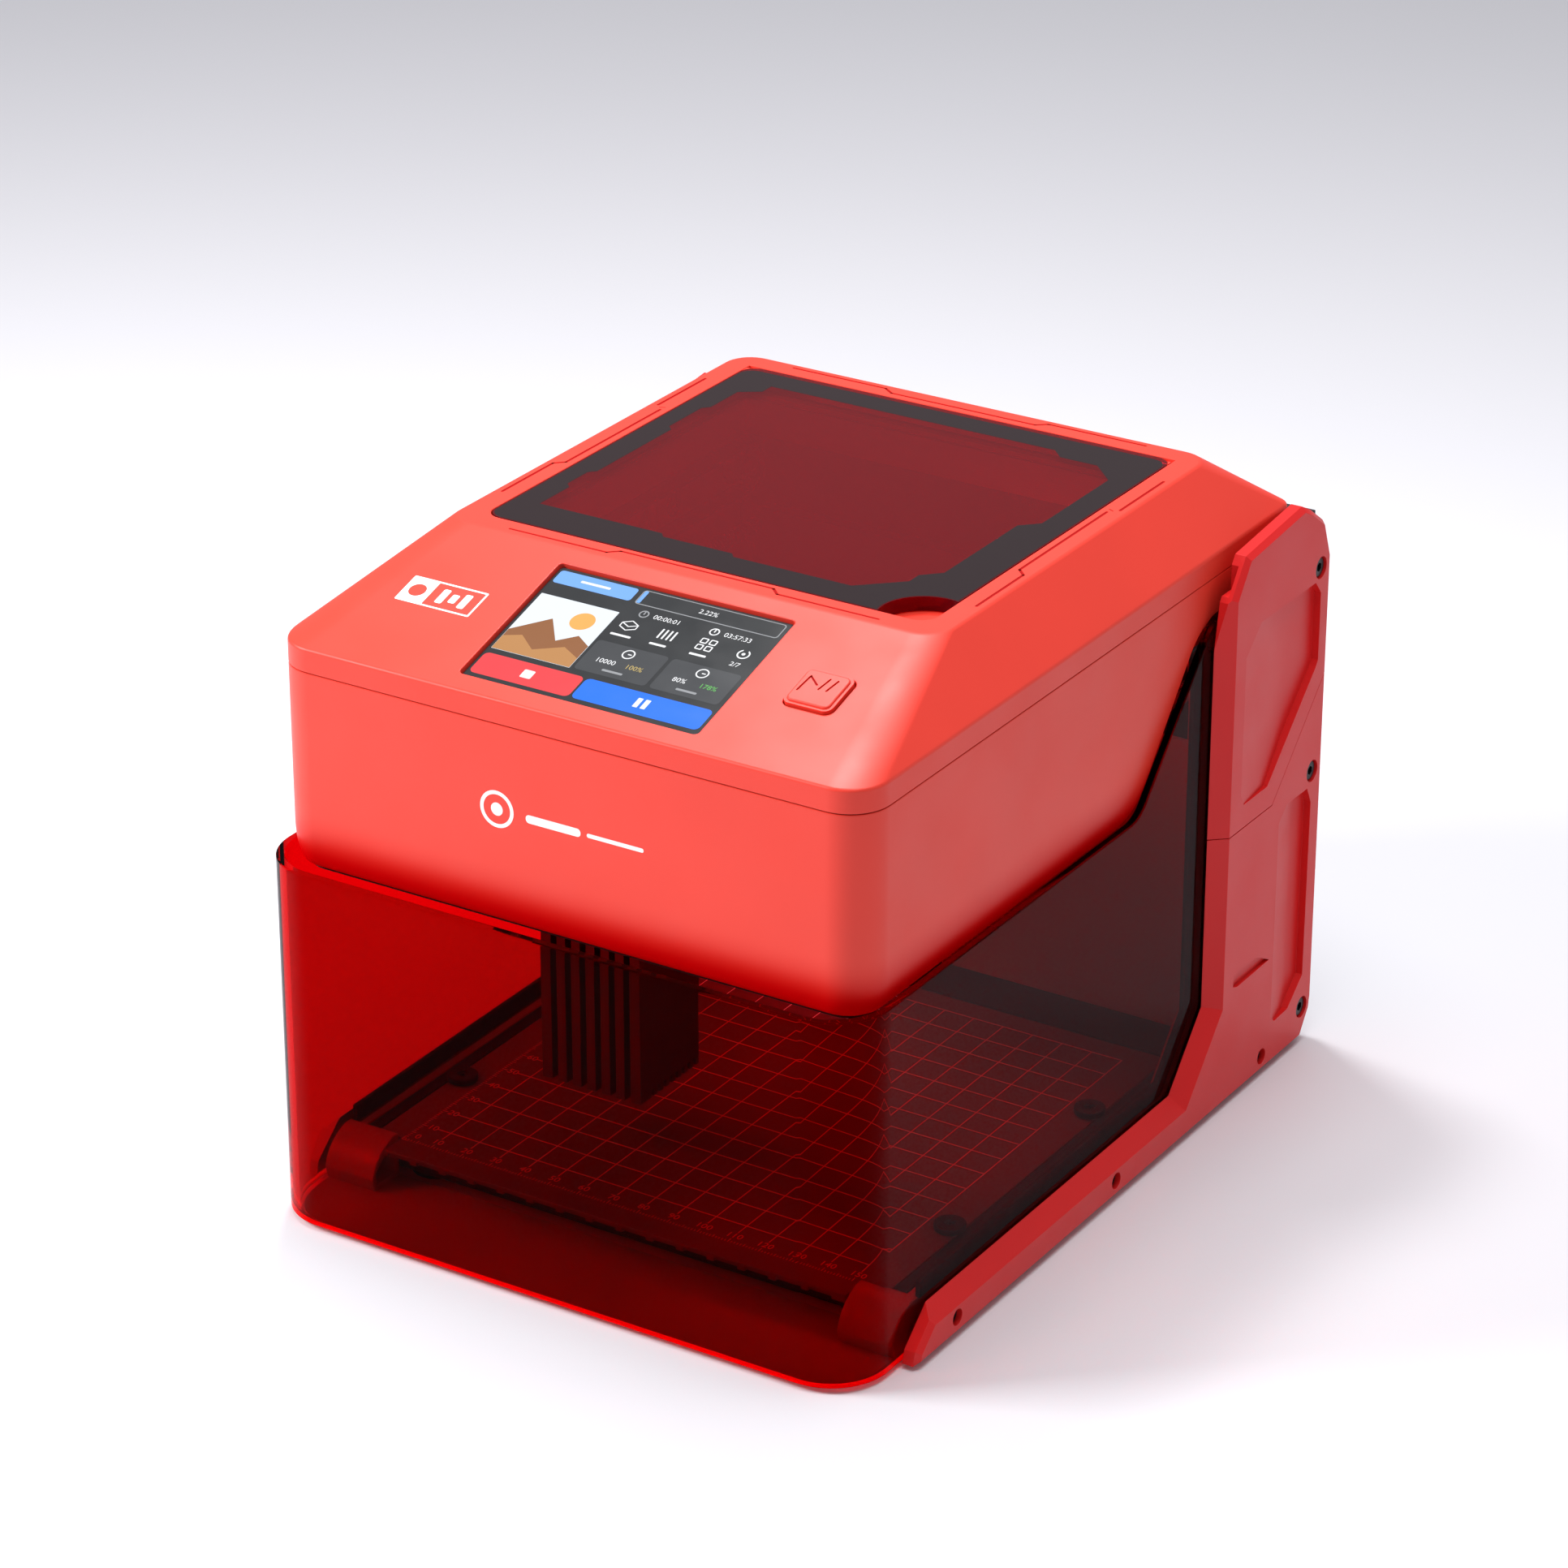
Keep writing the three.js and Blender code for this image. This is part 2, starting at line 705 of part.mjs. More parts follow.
function makeYCarriages() {
  pair(
    "y_carriage",
    () =>
      cut(
        box(79.8, 88.6, -31, -8, 115, 141),
        rod("y", BORE_R, -35, 0, [Y_ROD.x, Y_ROD.z]),
        ...X_ROD_Z.map((z) => rod("x", BORE_R, 70, 87, [X_ROD_Y, z])),
      ),
    ANODISED,
  );
  X_ROD_Z.forEach((z, index) => {
    add(`x_rod_${index + 1}`, rod("x", ROD_R, -86.7, 86.7, [X_ROD_Y, z]), STEEL);
  });
  const beam = outline([
    [-88.6, 116],
    [88.6, 116],
    [88.6, 140],
    [79, 140],
    [79, 144.4],
    [58, 144.4],
    [58, 140],
    [-58, 140],
    [-58, 154.6],
    [-79, 154.6],
    [-79, 140],
    [-88.6, 140],
  ]);
  const shelf = box(-79, -56, -30, -7, 153, 154.6);
  const idlerShelf = box(58, 79, -24, -7, 142.6, 144.4);
  const plate = cut(
    join(sweepY(beam, -7.7, -5.7), shelf, idlerShelf),
    rod("z", 4, 150, 156, [-68, BELT_Y]),
    ...[-1, 1].map((side) => rod("y", 4, -9, -4, [side * Y_ROD.x, Y_ROD.z])),
  );
  add("x_beam", plate, ANODISED);
}

// A toothed belt drawn as a flat band round two pulleys.
function beltLoop(from, to, radius) {
  const shape = new THREE.Shape();
  shape.absarc(to, 0, radius + BELT_THICK, -Math.PI / 2, Math.PI / 2);
  shape.absarc(from, 0, radius + BELT_THICK, Math.PI / 2, 1.5 * Math.PI);
  const hole = new THREE.Path();
  hole.absarc(to, 0, radius, -Math.PI / 2, Math.PI / 2);
  hole.absarc(from, 0, radius, Math.PI / 2, 1.5 * Math.PI);
  shape.holes.push(hole);
  return shape;
}

function makeXDrive() {
  const motor = join(
    box(-80, -56, -29, -5, 154.9, 174),
    rod("z", 2.3, 153.2, 155, [-68, BELT_Y], 16),
  );
  add("x_motor", motor, BLACK);
  const pulley = join(
    rod("z", PULLEY_R, 145, 152.8, [-68, BELT_Y], 24),
    rod("z", PULLEY_R + 0.9, 144.6, 145.2, [-68, BELT_Y], 24),
  );
  add("x_motor_pulley", pulley, STEEL);
  add("x_idler_pulley", rod("z", PULLEY_R, 145, 152.5, [70, BELT_Y], 24), STEEL);
  const loop = beltLoop(-68, 70, PULLEY_R + GAP);
  const band = sweepZ(loop, BELT_Z - 2.8, BELT_Z + 3).translate([0, BELT_Y, 0]);
  add("x_belt", band, RUBBER);
}

function makeYDrive() {
  const { y, z } = SHAFT;
  const at = [y, z];
  const shaft = join(
    rod("x", 2.5, -88, 88, at, 20),
    rod("x", PULLEY_R, 80.4, 87.6, at, 24),
    rod("x", PULLEY_R, -87.6, -80.4, at, 24),
    rod("x", 5, 12.6, 22, at, 20),
  );
  add("y_drive_shaft", shaft, STEEL);
  const motor = cut(
    box(-12, 12, -115, -91, 138, 162),
    rod("x", 3, -13, 13, at, 20),
  );
  add("y_motor", motor, BLACK);
  pair("y_idler_pulley", () => rod("x", PULLEY_R, 80.4, 87.6, [104, z], 24), STEEL);
  const loop = beltLoop(y, 104, PULLEY_R + GAP);
  pair("y_belt", () => sweepX(loop, 81, 87).translate([0, 0, z]), RUBBER);
}

function makeHead() {
  const centre = (HEAD.front + HEAD.rear) / 2;
  const carriage = cut(
    join(
      box(BEAM_X - 9, BEAM_X + 9, -33.4, -11, 115, 141),
      box(BEAM_X - 10, BEAM_X + 10, -37.6, -33.2, 70, 141),
      box(BEAM_X - 4, BEAM_X + 4, -27.5, -25.1, 140.9, 151), // holds the belt's front run
    ),
    ...X_ROD_Z.map((z) => rod("x", BORE_R, -60, 20, [X_ROD_Y, z])),
  );
  add("x_carriage", carriage, ANODISED);
  const grooves = [];
  for (let index = -2.5; index <= 2.5; index += 1) {
    const x = BEAM_X + index * 4.9;
    grooves.push(box(x - 1, x + 1, HEAD.front - 1, HEAD.front + 6, HEAD.bottom - 1, HEAD.top + 1));
  }
  const heatsink = cut(
    box(BEAM_X - HEAD.half, BEAM_X + HEAD.half, HEAD.front, HEAD.rear, HEAD.bottom, HEAD.top),
    ...grooves,
    rod("z", 6.4, HEAD.bottom - 1, HEAD.bottom + 8, [BEAM_X, centre], 24),
  );
  add("laser_heatsink", heatsink, ANODISED);
  const nozzle = cut(
    rod("z", 6.1, HEAD.bottom - 4, HEAD.bottom + 7.5, [BEAM_X, centre], 24),
    rod("z", 3.2, HEAD.bottom - 5, HEAD.bottom + 3, [BEAM_X, centre], 20),
  );
  add("laser_nozzle", nozzle, BRASS);
  const fanFrame = cut(
    box(BEAM_X - 15, BEAM_X + 15, centre - 15, centre + 15, HEAD.top + GAP, HEAD.top + 10),
    rod("z", 13.8, HEAD.top + 2, HEAD.top + 12, [BEAM_X, centre], 32),
    rod("z", 12, HEAD.top - 2, HEAD.top + 12, [BEAM_X, centre], 32),
  );
  const hubSeat = join(
    rod("z", 6, HEAD.top + GAP, HEAD.top + 2, [BEAM_X, centre], 20),
    box(BEAM_X - 13, BEAM_X + 13, centre - 1, centre + 1, HEAD.top + GAP, HEAD.top + 2),
  );
  add("laser_fan_frame", join(fanFrame, hubSeat), BLACK);
  add("laser_fan_rotor", fanRotor("z", [BEAM_X, centre], HEAD.top + 2.4, HEAD.top + 9.6, 5.6, 13.2), BLACK);
}

// A hub with seven straight blades, flat to its axis, from low to high.
function fanRotor(axis, at, low, high, hubR, tipR) {
  const blade = () => {
    const geometry = new THREE.BoxGeometry(tipR - hubR + 0.6, 1, (high - low) * 0.92);
    geometry.rotateX(0.62).translate((tipR + hubR - 0.6) / 2, 0, 0);
    return geometry;
  };
  const pieces = [rod("z", hubR, low, high, [0, 0], 20)];
  for (let index = 0; index < 7; index += 1) {
    const turned = blade().rotateZ((index * 2 * Math.PI) / 7);
    pieces.push(solidOf(turned.translate(0, 0, (low + high) / 2)));
  }
  const limits = rod("z", tipR, low, high, [0, 0], 40);
  const rotor = join(...pieces).intersect(limits);
  if (axis === "z") return rotor.translate([at[0], at[1], 0]);
  const upright = geometryOf(rotor).rotateX(-Math.PI / 2);
  return solidOf(upright).translate([at[0], 0, at[1]]);
}

makeTopCover();
makeHousing();
makeWindow();
makeScreenAndButton();
makeSideCovers();
makeSideFrames();
makeRailEnds();
makeTray();
makeBed();
makeRear();
add("exhaust_fan_rotor", fanRotor("y", [0, 62], 89.4, 99, 11, 26.4), BLACK);
makeFeet();
makeVisor();
makeGuides();
makeYCarriages();
makeXDrive();
makeYDrive();
makeHead();

export default machine;
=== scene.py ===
# %% [markdown]
# # A desktop laser engraver
# The machine is a coral casing on two dark red side frames, with a clear red visor that
# swings up in front and a smoked lid on top. The frame below holds every real size, so
# this lesson only gives each part its finer shape and its finish.

# %% Load the frame
import json
import math

import bmesh
import bpy
from mathutils import Matrix, Vector


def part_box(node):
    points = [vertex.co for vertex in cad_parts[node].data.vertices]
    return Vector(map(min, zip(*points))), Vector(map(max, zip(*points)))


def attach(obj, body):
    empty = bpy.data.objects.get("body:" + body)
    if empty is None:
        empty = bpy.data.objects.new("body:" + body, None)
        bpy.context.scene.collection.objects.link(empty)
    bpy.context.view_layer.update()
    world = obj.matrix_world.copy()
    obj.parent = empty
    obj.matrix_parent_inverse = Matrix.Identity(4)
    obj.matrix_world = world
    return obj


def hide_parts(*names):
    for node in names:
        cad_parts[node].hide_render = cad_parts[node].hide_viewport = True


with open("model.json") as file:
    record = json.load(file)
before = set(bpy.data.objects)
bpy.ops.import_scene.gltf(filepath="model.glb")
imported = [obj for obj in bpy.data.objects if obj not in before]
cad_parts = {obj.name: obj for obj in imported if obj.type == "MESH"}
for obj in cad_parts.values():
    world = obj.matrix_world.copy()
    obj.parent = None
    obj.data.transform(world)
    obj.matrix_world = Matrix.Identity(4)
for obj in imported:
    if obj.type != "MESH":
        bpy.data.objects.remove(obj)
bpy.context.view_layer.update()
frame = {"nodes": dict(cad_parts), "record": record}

# %% [markdown]
# ## Working units
# Parts like these are drawn in millimetres, as on a shop drawing, and scaled to metres
# only when a piece is finished. Places come from the frame's own boxes.

# %% Units and places
MM = 0.001


def place(node):
    """The lowest and highest corner of a frame part, in millimetres."""
    low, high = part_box(node)
    return low / MM, high / MM


cover_low, cover_high = place("top_cover")
housing_low, housing_high = place("main_housing")
lid_low, lid_high = place("window_lid")
bed_low, bed_high = place("bed_plate")
visor_low, visor_high = place("visor")
print("casing", [round(v, 1) for v in (*cover_low, *cover_high)])

# %% [markdown]
# ## Camera
# A long lens from the front right, a little above the machine. It stands far enough
# away that the lines of the casing run together only slightly.

# %% Camera
CAMERA_MM = (730.8, -1172.3, 755.1)
AZIMUTH, ELEVATION = math.radians(32.089), math.radians(25.097)
camera = bpy.data.objects.new("camera", bpy.data.cameras.new("camera"))
bpy.context.scene.collection.objects.link(camera)
camera.data.sensor_width = 36
camera.data.lens = 123.6
camera.data.clip_end = 50
back = Vector(
    (
        math.sin(AZIMUTH) * math.cos(ELEVATION),
        -math.cos(AZIMUTH) * math.cos(ELEVATION),
        math.sin(ELEVATION),
    )
)
camera.location = Vector(CAMERA_MM) * MM
camera.rotation_mode = "QUATERNION"
camera.rotation_quaternion = (-back).to_track_quat("-Z", "Y")
bpy.context.scene.camera = camera

# %% [markdown]
# ## Finishes
# Most of the machine is moulded plastic with a fine spark-eroded texture. One helper
# starts a Principled shader with plain values on its sockets. The two others add what
# makes a surface look made: fine grain as bump, and slow drifts in colour and gloss.


# %% Material helpers
def finish(name, colour, roughness, **sockets):
    """A material whose Principled shader takes plain values."""
    material = bpy.data.materials.new(name)
    material.use_nodes = True
    shader = material.node_tree.nodes["Principled BSDF"]
    shader.inputs["Base Color"].default_value = (*colour, 1)
    shader.inputs["Roughness"].default_value = roughness
    for socket, value in sockets.items():
        shader.inputs[socket.replace("_", " ")].default_value = value
    return material


def noise(material, scale, detail=3.0, stretch=(1, 1, 1)):
    """Noise in the piece's own millimetres, one bump for every 1 / scale mm."""
    nodes, links = material.node_tree.nodes, material.node_tree.links
    where = nodes.new("ShaderNodeTexCoord")
    fit = nodes.new("ShaderNodeMapping")
    fit.inputs["Scale"].default_value = [s / MM for s in stretch]
    pattern = nodes.new("ShaderNodeTexNoise")
    pattern.inputs["Scale"].default_value = scale
    pattern.inputs["Detail"].default_value = detail
    links.new(where.outputs["Object"], fit.inputs["Vector"])
    links.new(fit.outputs["Vector"], pattern.inputs["Vector"])
    return pattern.outputs["Fac"]


def grain(material, scale, depth_mm, stretch=(1, 1, 1)):
    """Fine surface texture as bump, its depth in millimetres."""
    nodes, links = material.node_tree.nodes, material.node_tree.links
    bump = nodes.new("ShaderNodeBump")
    bump.inputs["Strength"].default_value = 1
    bump.inputs["Distance"].default_value = depth_mm * MM
    links.new(noise(material, scale, 2, stretch), bump.inputs["Height"])
    links.new(bump.outputs["Normal"], nodes["Principled BSDF"].inputs["Normal"])
    return material


def drift(material, scale, low, high):
    """Lets the roughness wander slowly between low and high."""
    nodes, links = material.node_tree.nodes, material.node_tree.links
    spread = nodes.new("ShaderNodeMapRange")
    spread.inputs["From Min"].default_value = 0.3
    spread.inputs["From Max"].default_value = 0.7
    spread.inputs["To Min"].default_value = low
    spread.inputs["To Max"].default_value = high
    links.new(noise(material, scale), spread.inputs["Value"])
    links.new(spread.outputs["Result"], nodes["Principled BSDF"].inputs["Roughness"])
    return material


def shade(material, scale, dark, light):
    """Lets the colour wander slowly between two tones."""
    nodes, links = material.node_tree.nodes, material.node_tree.links
    ramp = nodes.new("ShaderNodeValToRGB")
    ramp.color_ramp.elements[0].position = 0.3
    ramp.color_ramp.elements[1].position = 0.7
    ramp.color_ramp.elements[0].color = (*dark, 1)
    ramp.color_ramp.elements[1].color = (*light, 1)
    links.new(noise(material, scale), ramp.inputs["Fac"])
    links.new(ramp.outputs["Color"], nodes["Principled BSDF"].inputs["Base Color"])
    return material


def paint_low_shade(material, full_mm, none_mm, colour):
    """Painted shade: turns the colour towards another one between two heights, and takes the gloss
    off.
    """
    nodes, links = material.node_tree.nodes, material.node_tree.links
    shader = nodes["Principled BSDF"]
    where = nodes.new("ShaderNodeTexCoord")
    split = nodes.new("ShaderNodeSeparateXYZ")
    fade = nodes.new("ShaderNodeMapRange")
    fade.interpolation_type = "SMOOTHSTEP"
    fade.inputs["From Min"].default_value = full_mm * MM
    fade.inputs["From Max"].default_value = none_mm * MM
    fade.inputs["To Min"].default_value = 1
    fade.inputs["To Max"].default_value = 0
    links.new(where.outputs["Object"], split.inputs["Vector"])
    links.new(split.outputs["Z"], fade.inputs["Value"])
    blend = nodes.new("ShaderNodeMix")
    blend.data_type = "RGBA"
    blend.inputs["B"].default_value = (*colour, 1)
    links.new(fade.outputs["Result"], blend.inputs["Factor"])
    links.new(shader.inputs["Base Color"].links[0].from_socket, blend.inputs["A"])
    links.new(blend.outputs["Result"], shader.inputs["Base Color"])
    dull = nodes.new("ShaderNodeMapRange")
    dull.inputs["To Min"].default_value = shader.inputs["Specular IOR Level"].default_value
    dull.inputs["To Max"].default_value = 0.02
    links.new(fade.outputs["Result"], dull.inputs["Value"])
    links.new(dull.outputs["Result"], shader.inputs["Specular IOR Level"])
    return material


# %% [markdown]
# ### Coral moulding
# The casing is coloured through, so there is no paint edge. Its grain is about a third
# of a millimetre, too fine to see as dots but enough to spread the highlights, and a
# weak clear sheen on top keeps the edges bright.

# %% Opaque finishes
CORAL = (0.78, 0.045, 0.026)


def moulding(name):
    """The casing's plastic."""
    material = finish(name, CORAL, 0.42, Specular_IOR_Level=0.36)
    shade(material, 0.02, [0.97 * c for c in CORAL], [min(1, 1.03 * c) for c in CORAL])
    drift(material, 0.05, 0.38, 0.46)
    return grain(material, 2.6, 0.006)


coral = moulding("coral_moulding")
coral_housing_painted_shade = moulding("coral_housing_painted_shade")
# Painted shade: the housing grows deeper red and loses its gloss towards the bottom, where its
# curved underside turns away from the light.
paint_low_shade(coral_housing_painted_shade, 110.5, 126, (0.58, 0.0, 0.002))

# Painted shade: this deeper red is laid on the floors of shallow grooves and pressed strokes, where
# they shade themselves.
groove_shade_red = finish("groove_shade_red", (0.34, 0.002, 0.002), 0.7, Specular_IOR_Level=0.1)
drift(groove_shade_red, 0.4, 0.5, 0.7)

deep_red = finish("deep_red_paint", (0.42, 0.006, 0.008), 0.4, Specular_IOR_Level=0.35)
drift(deep_red, 0.08, 0.32, 0.44)
grain(deep_red, 1.6, 0.01)

cover_red = finish("cover_red", (0.66, 0.011, 0.011), 0.42, Specular_IOR_Level=0.32)
drift(cover_red, 0.05, 0.36, 0.44)
grain(cover_red, 2.6, 0.006)

black_plastic = finish("black_plastic", (0.014, 0.014, 0.015), 0.55)
drift(black_plastic, 0.1, 0.53, 0.57)
grain(black_plastic, 1.8, 0.02)

black_paint = finish("black_paint", (0.012, 0.012, 0.013), 0.42)
drift(black_paint, 0.06, 0.36, 0.5)
grain(black_paint, 1.6, 0.005)

anodised = finish("black_anodised", (0.085, 0.075, 0.078), 0.42, Metallic=0.3)
drift(anodised, 0.3, 0.32, 0.46)
grain(anodised, 2.2, 0.002)

steel = finish("ground_steel", (0.56, 0.57, 0.59), 0.24, Metallic=1)
drift(steel, 0.8, 0.18, 0.34)
grain(steel, 2.2, 0.004, stretch=(0.1, 4, 4))

machined = finish("machined_aluminium", (0.74, 0.74, 0.76), 0.3, Metallic=1)
drift(machined, 0.9, 0.24, 0.4)
grain(machined, 2.2, 0.005, stretch=(3, 3, 0.6))

brass = finish("turned_brass", (0.72, 0.47, 0.17), 0.26, Metallic=1)
drift(brass, 0.8, 0.2, 0.36)
grain(brass, 2.5, 0.004, stretch=(1, 1, 5))

rubber = finish("black_rubber", (0.018, 0.018, 0.019), 0.82)
drift(rubber, 0.3, 0.74, 0.9)
grain(rubber, 1.4, 0.03)

screw_black = finish("black_oxide", (0.02, 0.02, 0.022), 0.36, Metallic=0.8)
drift(screw_black, 0.8, 0.28, 0.46)
grain(screw_black, 2.4, 0.006)

solder_mask = finish("solder_mask", (0.01, 0.12, 0.05), 0.35, Coat_Weight=0.4)
shade(solder_mask, 0.2, (0.006, 0.09, 0.035), (0.014, 0.15, 0.06))
grain(solder_mask, 0.8, 0.02)
print("finishes", len(bpy.data.materials))

# %% [markdown]
# ### Clear red acrylic
# The visor is cast acrylic, coloured to stop laser light. As a solid that bends light it
# shows its thickness at every edge. Rays from the lamps would stop at bent glass, so a
# Light Path switch lets those through as a plain red filter, and the bed stays lit.


# %% Clear finishes
def clear(name, colour, filter_colour, tint, ior=1.49, body=0.0):
    """Coloured glass or acrylic that lets the lamps' light through in its own colour."""
    material = finish(
        name, colour, 0, Transmission_Weight=1 - body, IOR=ior, Specular_Tint=(*tint, 1)
    )
    nodes, links = material.node_tree.nodes, material.node_tree.links
    lamp_filter = nodes.new("ShaderNodeBsdfTransparent")
    lamp_filter.inputs["Color"].default_value = (*filter_colour, 1)
    rays = nodes.new("ShaderNodeLightPath")
    switch = nodes.new("ShaderNodeMixShader")
    links.new(rays.outputs["Is Shadow Ray"], switch.inputs["Fac"])
    links.new(nodes["Principled BSDF"].outputs["BSDF"], switch.inputs[1])
    links.new(lamp_filter.outputs["BSDF"], switch.inputs[2])
    links.new(switch.outputs["Shader"], nodes["Material Output"].inputs["Surface"])
    return material


red_acrylic = clear(
    "red_acrylic", (0.54, 0.0, 0.001), (0.12, 0.0, 0.0), (0.3, 0.04, 0.04), ior=1.09
)
drift(red_acrylic, 0.02, 0.0, 0.012)
smoked = clear(
    "smoked_acrylic", (0.30, 0.005, 0.013), (0.75, 0.10, 0.12), (0.45, 0.1, 0.11),
    ior=1.2, body=0.24,
)
drift(smoked, 0.02, 0.0, 0.015)

# %% [markdown]
# ## Shaping helpers
# A flat outline is drawn as one face. The vertex bevel rounds its corners, an extrusion
# gives it thickness, and an edge bevel breaks its sharp edges, which is the order in
# which such parts are designed. `carve` cuts one solid with others.


# %% Outline to solid
AXES = {
    "x": Matrix(((0, 0, 1, 0), (1, 0, 0, 0), (0, 1, 0, 0), (0, 0, 0, 1))),
    "y": Matrix(((1, 0, 0, 0), (0, 0, 1, 0), (0, 1, 0, 0), (0, 0, 0, 1))),
    "z": Matrix.Identity(4),
}


def in_order(mesh):
    """Sorts points, edges and faces by place. Operators may hand them back in another
    order each time, and the bevels after them would then differ a little."""

    def rank(corners):
        x, y, z = (math.fsum(v.co[i] for v in corners) / len(corners) for i in range(3))
        return x + y * math.pi + z * math.e

    mesh.verts.sort(key=lambda v: rank([v]))
    mesh.edges.sort(key=lambda e: rank(e.verts))
    mesh.faces.sort(key=lambda f: rank(f.verts) + f.calc_area() * MM)
    for row in (mesh.verts, mesh.edges, mesh.faces):
        row.index_update()
    return mesh


def flat_face(points, round_mm=0.0, steps=6, corners=None):
    """One flat face through the points. corners picks which of them are rounded."""
    mesh = bmesh.new()
    verts = [mesh.verts.new((a, b, 0)) for a, b in points]
    mesh.faces.new(verts)
    if round_mm > 0:
        picked = verts if corners is None else [verts[i] for i in corners]
        bmesh.ops.bevel(
            mesh, geom=picked, offset=round_mm, offset_type="OFFSET", segments=steps,
            profile=0.5, affect="VERTICES", material=-1,
        )
    bmesh.ops.recalc_face_normals(mesh, faces=mesh.faces)
    return mesh


def raise_solid(mesh, low, high, axis="z", edge=0.0, steps=3, angle=30):
    """Extrudes a flat face from low to high along an axis, with its edges broken."""
    bmesh.ops.translate(mesh, verts=mesh.verts, vec=(0, 0, low))
    grown = bmesh.ops.extrude_face_region(mesh, geom=mesh.faces[:])
    top = [v for v in grown["geom"] if isinstance(v, bmesh.types.BMVert)]
    bmesh.ops.translate(mesh, verts=top, vec=(0, 0, high - low))
    bmesh.ops.transform(mesh, matrix=AXES[axis], verts=mesh.verts)
    bmesh.ops.recalc_face_normals(mesh, faces=in_order(mesh).faces)
    if edge > 0:
        break_edges(mesh, edge, steps, angle)
    return mesh


def break_edges(mesh, width, steps=3, angle=30, where=None):
    """Rounds the edges that turn by more than the angle."""
    limit = math.radians(angle)
    in_order(mesh)
    sharp = [
        e for e in mesh.edges
        if len(e.link_faces) == 2 and e.calc_face_angle(0) > limit and (where is None or where(e))
    ]
    bmesh.ops.bevel(
        mesh, geom=sharp, offset=width, offset_type="OFFSET", segments=steps,
        profile=0.5, affect="EDGES", clamp_overlap=True, material=-1,
    )
    return mesh


def rectangle(x0, x1, y0, y1):
    return [(x0, y0), (x1, y0), (x1, y1), (x0, y1)]


def slab(x0, x1, y0, y1, z0, z1, round_mm=0.0, edge=0.0, axis="z", steps=6):
    """A plate over a rectangle, in the two directions across the axis."""
    face = flat_face(rectangle(x0, x1, y0, y1), round_mm, steps)
    return raise_solid(face, z0, z1, axis, edge)


def post(radius, low, high, centre, axis="z", sides=32, edge=0.0):
    """A round post along an axis, with broken rims."""
    mesh = bmesh.new()
    bmesh.ops.create_circle(mesh, cap_ends=True, segments=sides, radius=radius)
    bmesh.ops.translate(mesh, verts=mesh.verts, vec=(*centre, 0))
    return raise_solid(mesh, low, high, axis, edge, 2, 60)


# %% Joining, cutting and finishing
def merge(first, *others):
    """Puts several meshes into the first one."""
    for other in others:
        held = bpy.data.meshes.new("held")
        other.to_mesh(held)
        first.from_mesh(held)
        bpy.data.meshes.remove(held)
        other.free()
    return first


def carve(body, cutter, operation="DIFFERENCE", overlapping=False):
    """Cuts one solid with another, or joins them, and returns the result."""
    names = ("carved", "cutter")
    held = [bpy.data.objects.new(n, bpy.data.meshes.new(n)) for n in names]
    for item, mesh in zip(held, (body, cutter)):
        in_order(mesh).to_mesh(item.data)
        mesh.free()
        bpy.context.scene.collection.objects.link(item)
    step = held[0].modifiers.new("cut", "BOOLEAN")
    step.object = held[1]
    step.operation = operation
    step.solver = "EXACT"
    step.use_self = overlapping
    ready = held[0].evaluated_get(bpy.context.evaluated_depsgraph_get())
    result = bmesh.new()
    result.from_mesh(ready.to_mesh())
    ready.to_mesh_clear()
    for item in held:
        shape = item.data
        bpy.data.objects.remove(item)
        bpy.data.meshes.remove(shape)
    bmesh.ops.remove_doubles(result, verts=in_order(result).verts, dist=0.0005)
    return in_order(result)


def mirrored(mesh):
    """The left-hand copy of a right-hand mesh."""
    twin = mesh.copy()
    bmesh.ops.scale(twin, vec=(-1, 1, 1), verts=twin.verts)
    bmesh.ops.reverse_faces(twin, faces=twin.faces)
    return twin


def piece(name, mesh, body, material, replaces=(), smooth=35):
    """A finished piece: millimetres to metres, shading, finish, and the body it rides on."""
    bmesh.ops.scale(mesh, vec=(MM, MM, MM), verts=mesh.verts)
    data = bpy.data.meshes.new(name)
    in_order(mesh).to_mesh(data)
    mesh.free()
    data.materials.append(material)
    data.shade_smooth()
    data.set_sharp_from_angle(angle=math.radians(smooth))
    made = bpy.data.objects.new(name, data)
    bpy.context.scene.collection.objects.link(made)
    weights = made.modifiers.new("even_shading", "WEIGHTED_NORMAL")
    weights.keep_sharp = True
    weights.weight = 100
    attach(made, body)
    if replaces:
        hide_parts(*replaces)
    return made


def copy_of(node):
    """A frame part's mesh with its loose triangles joined into clean flat faces."""
    mesh = bmesh.new()
    mesh.from_mesh(frame["nodes"][node].data)
    bmesh.ops.scale(mesh, vec=(1 / MM,) * 3, verts=mesh.verts)
    bmesh.ops.remove_doubles(mesh, verts=mesh.verts, dist=0.002)
    bmesh.ops.dissolve_limit(
        mesh, angle_limit=math.radians(0.6), verts=mesh.verts, edges=mesh.edges
    )
    return mesh


body_of_node = {
    node: body
    for body, nodes in frame["record"]["behaviour"]["bodies"].items()
    for node in nodes
}


def eased(node, material, width, steps=2, angle=32):
    """A frame part with its edges broken, in its place."""
    mesh = break_edges(copy_of(node), width, steps, angle)
    return stand_in(f"{node}_shell", mesh, material, node)


def stand_in(name, mesh, material, node, smooth=35):
    """A finished piece that takes a frame part's place and body, with the finish it is given."""
    return piece(name, mesh, body_of_node[node], material, (node,), smooth)


# %% [markdown]
# ## The sloping top cover
# The top is a low pyramid with its corners blended: round at the foot, tighter at the
# flat. Two rings with the same number of points are bridged, which gives that blend
# without any sculpting. The inside is a second loft, one wall smaller, cut away.

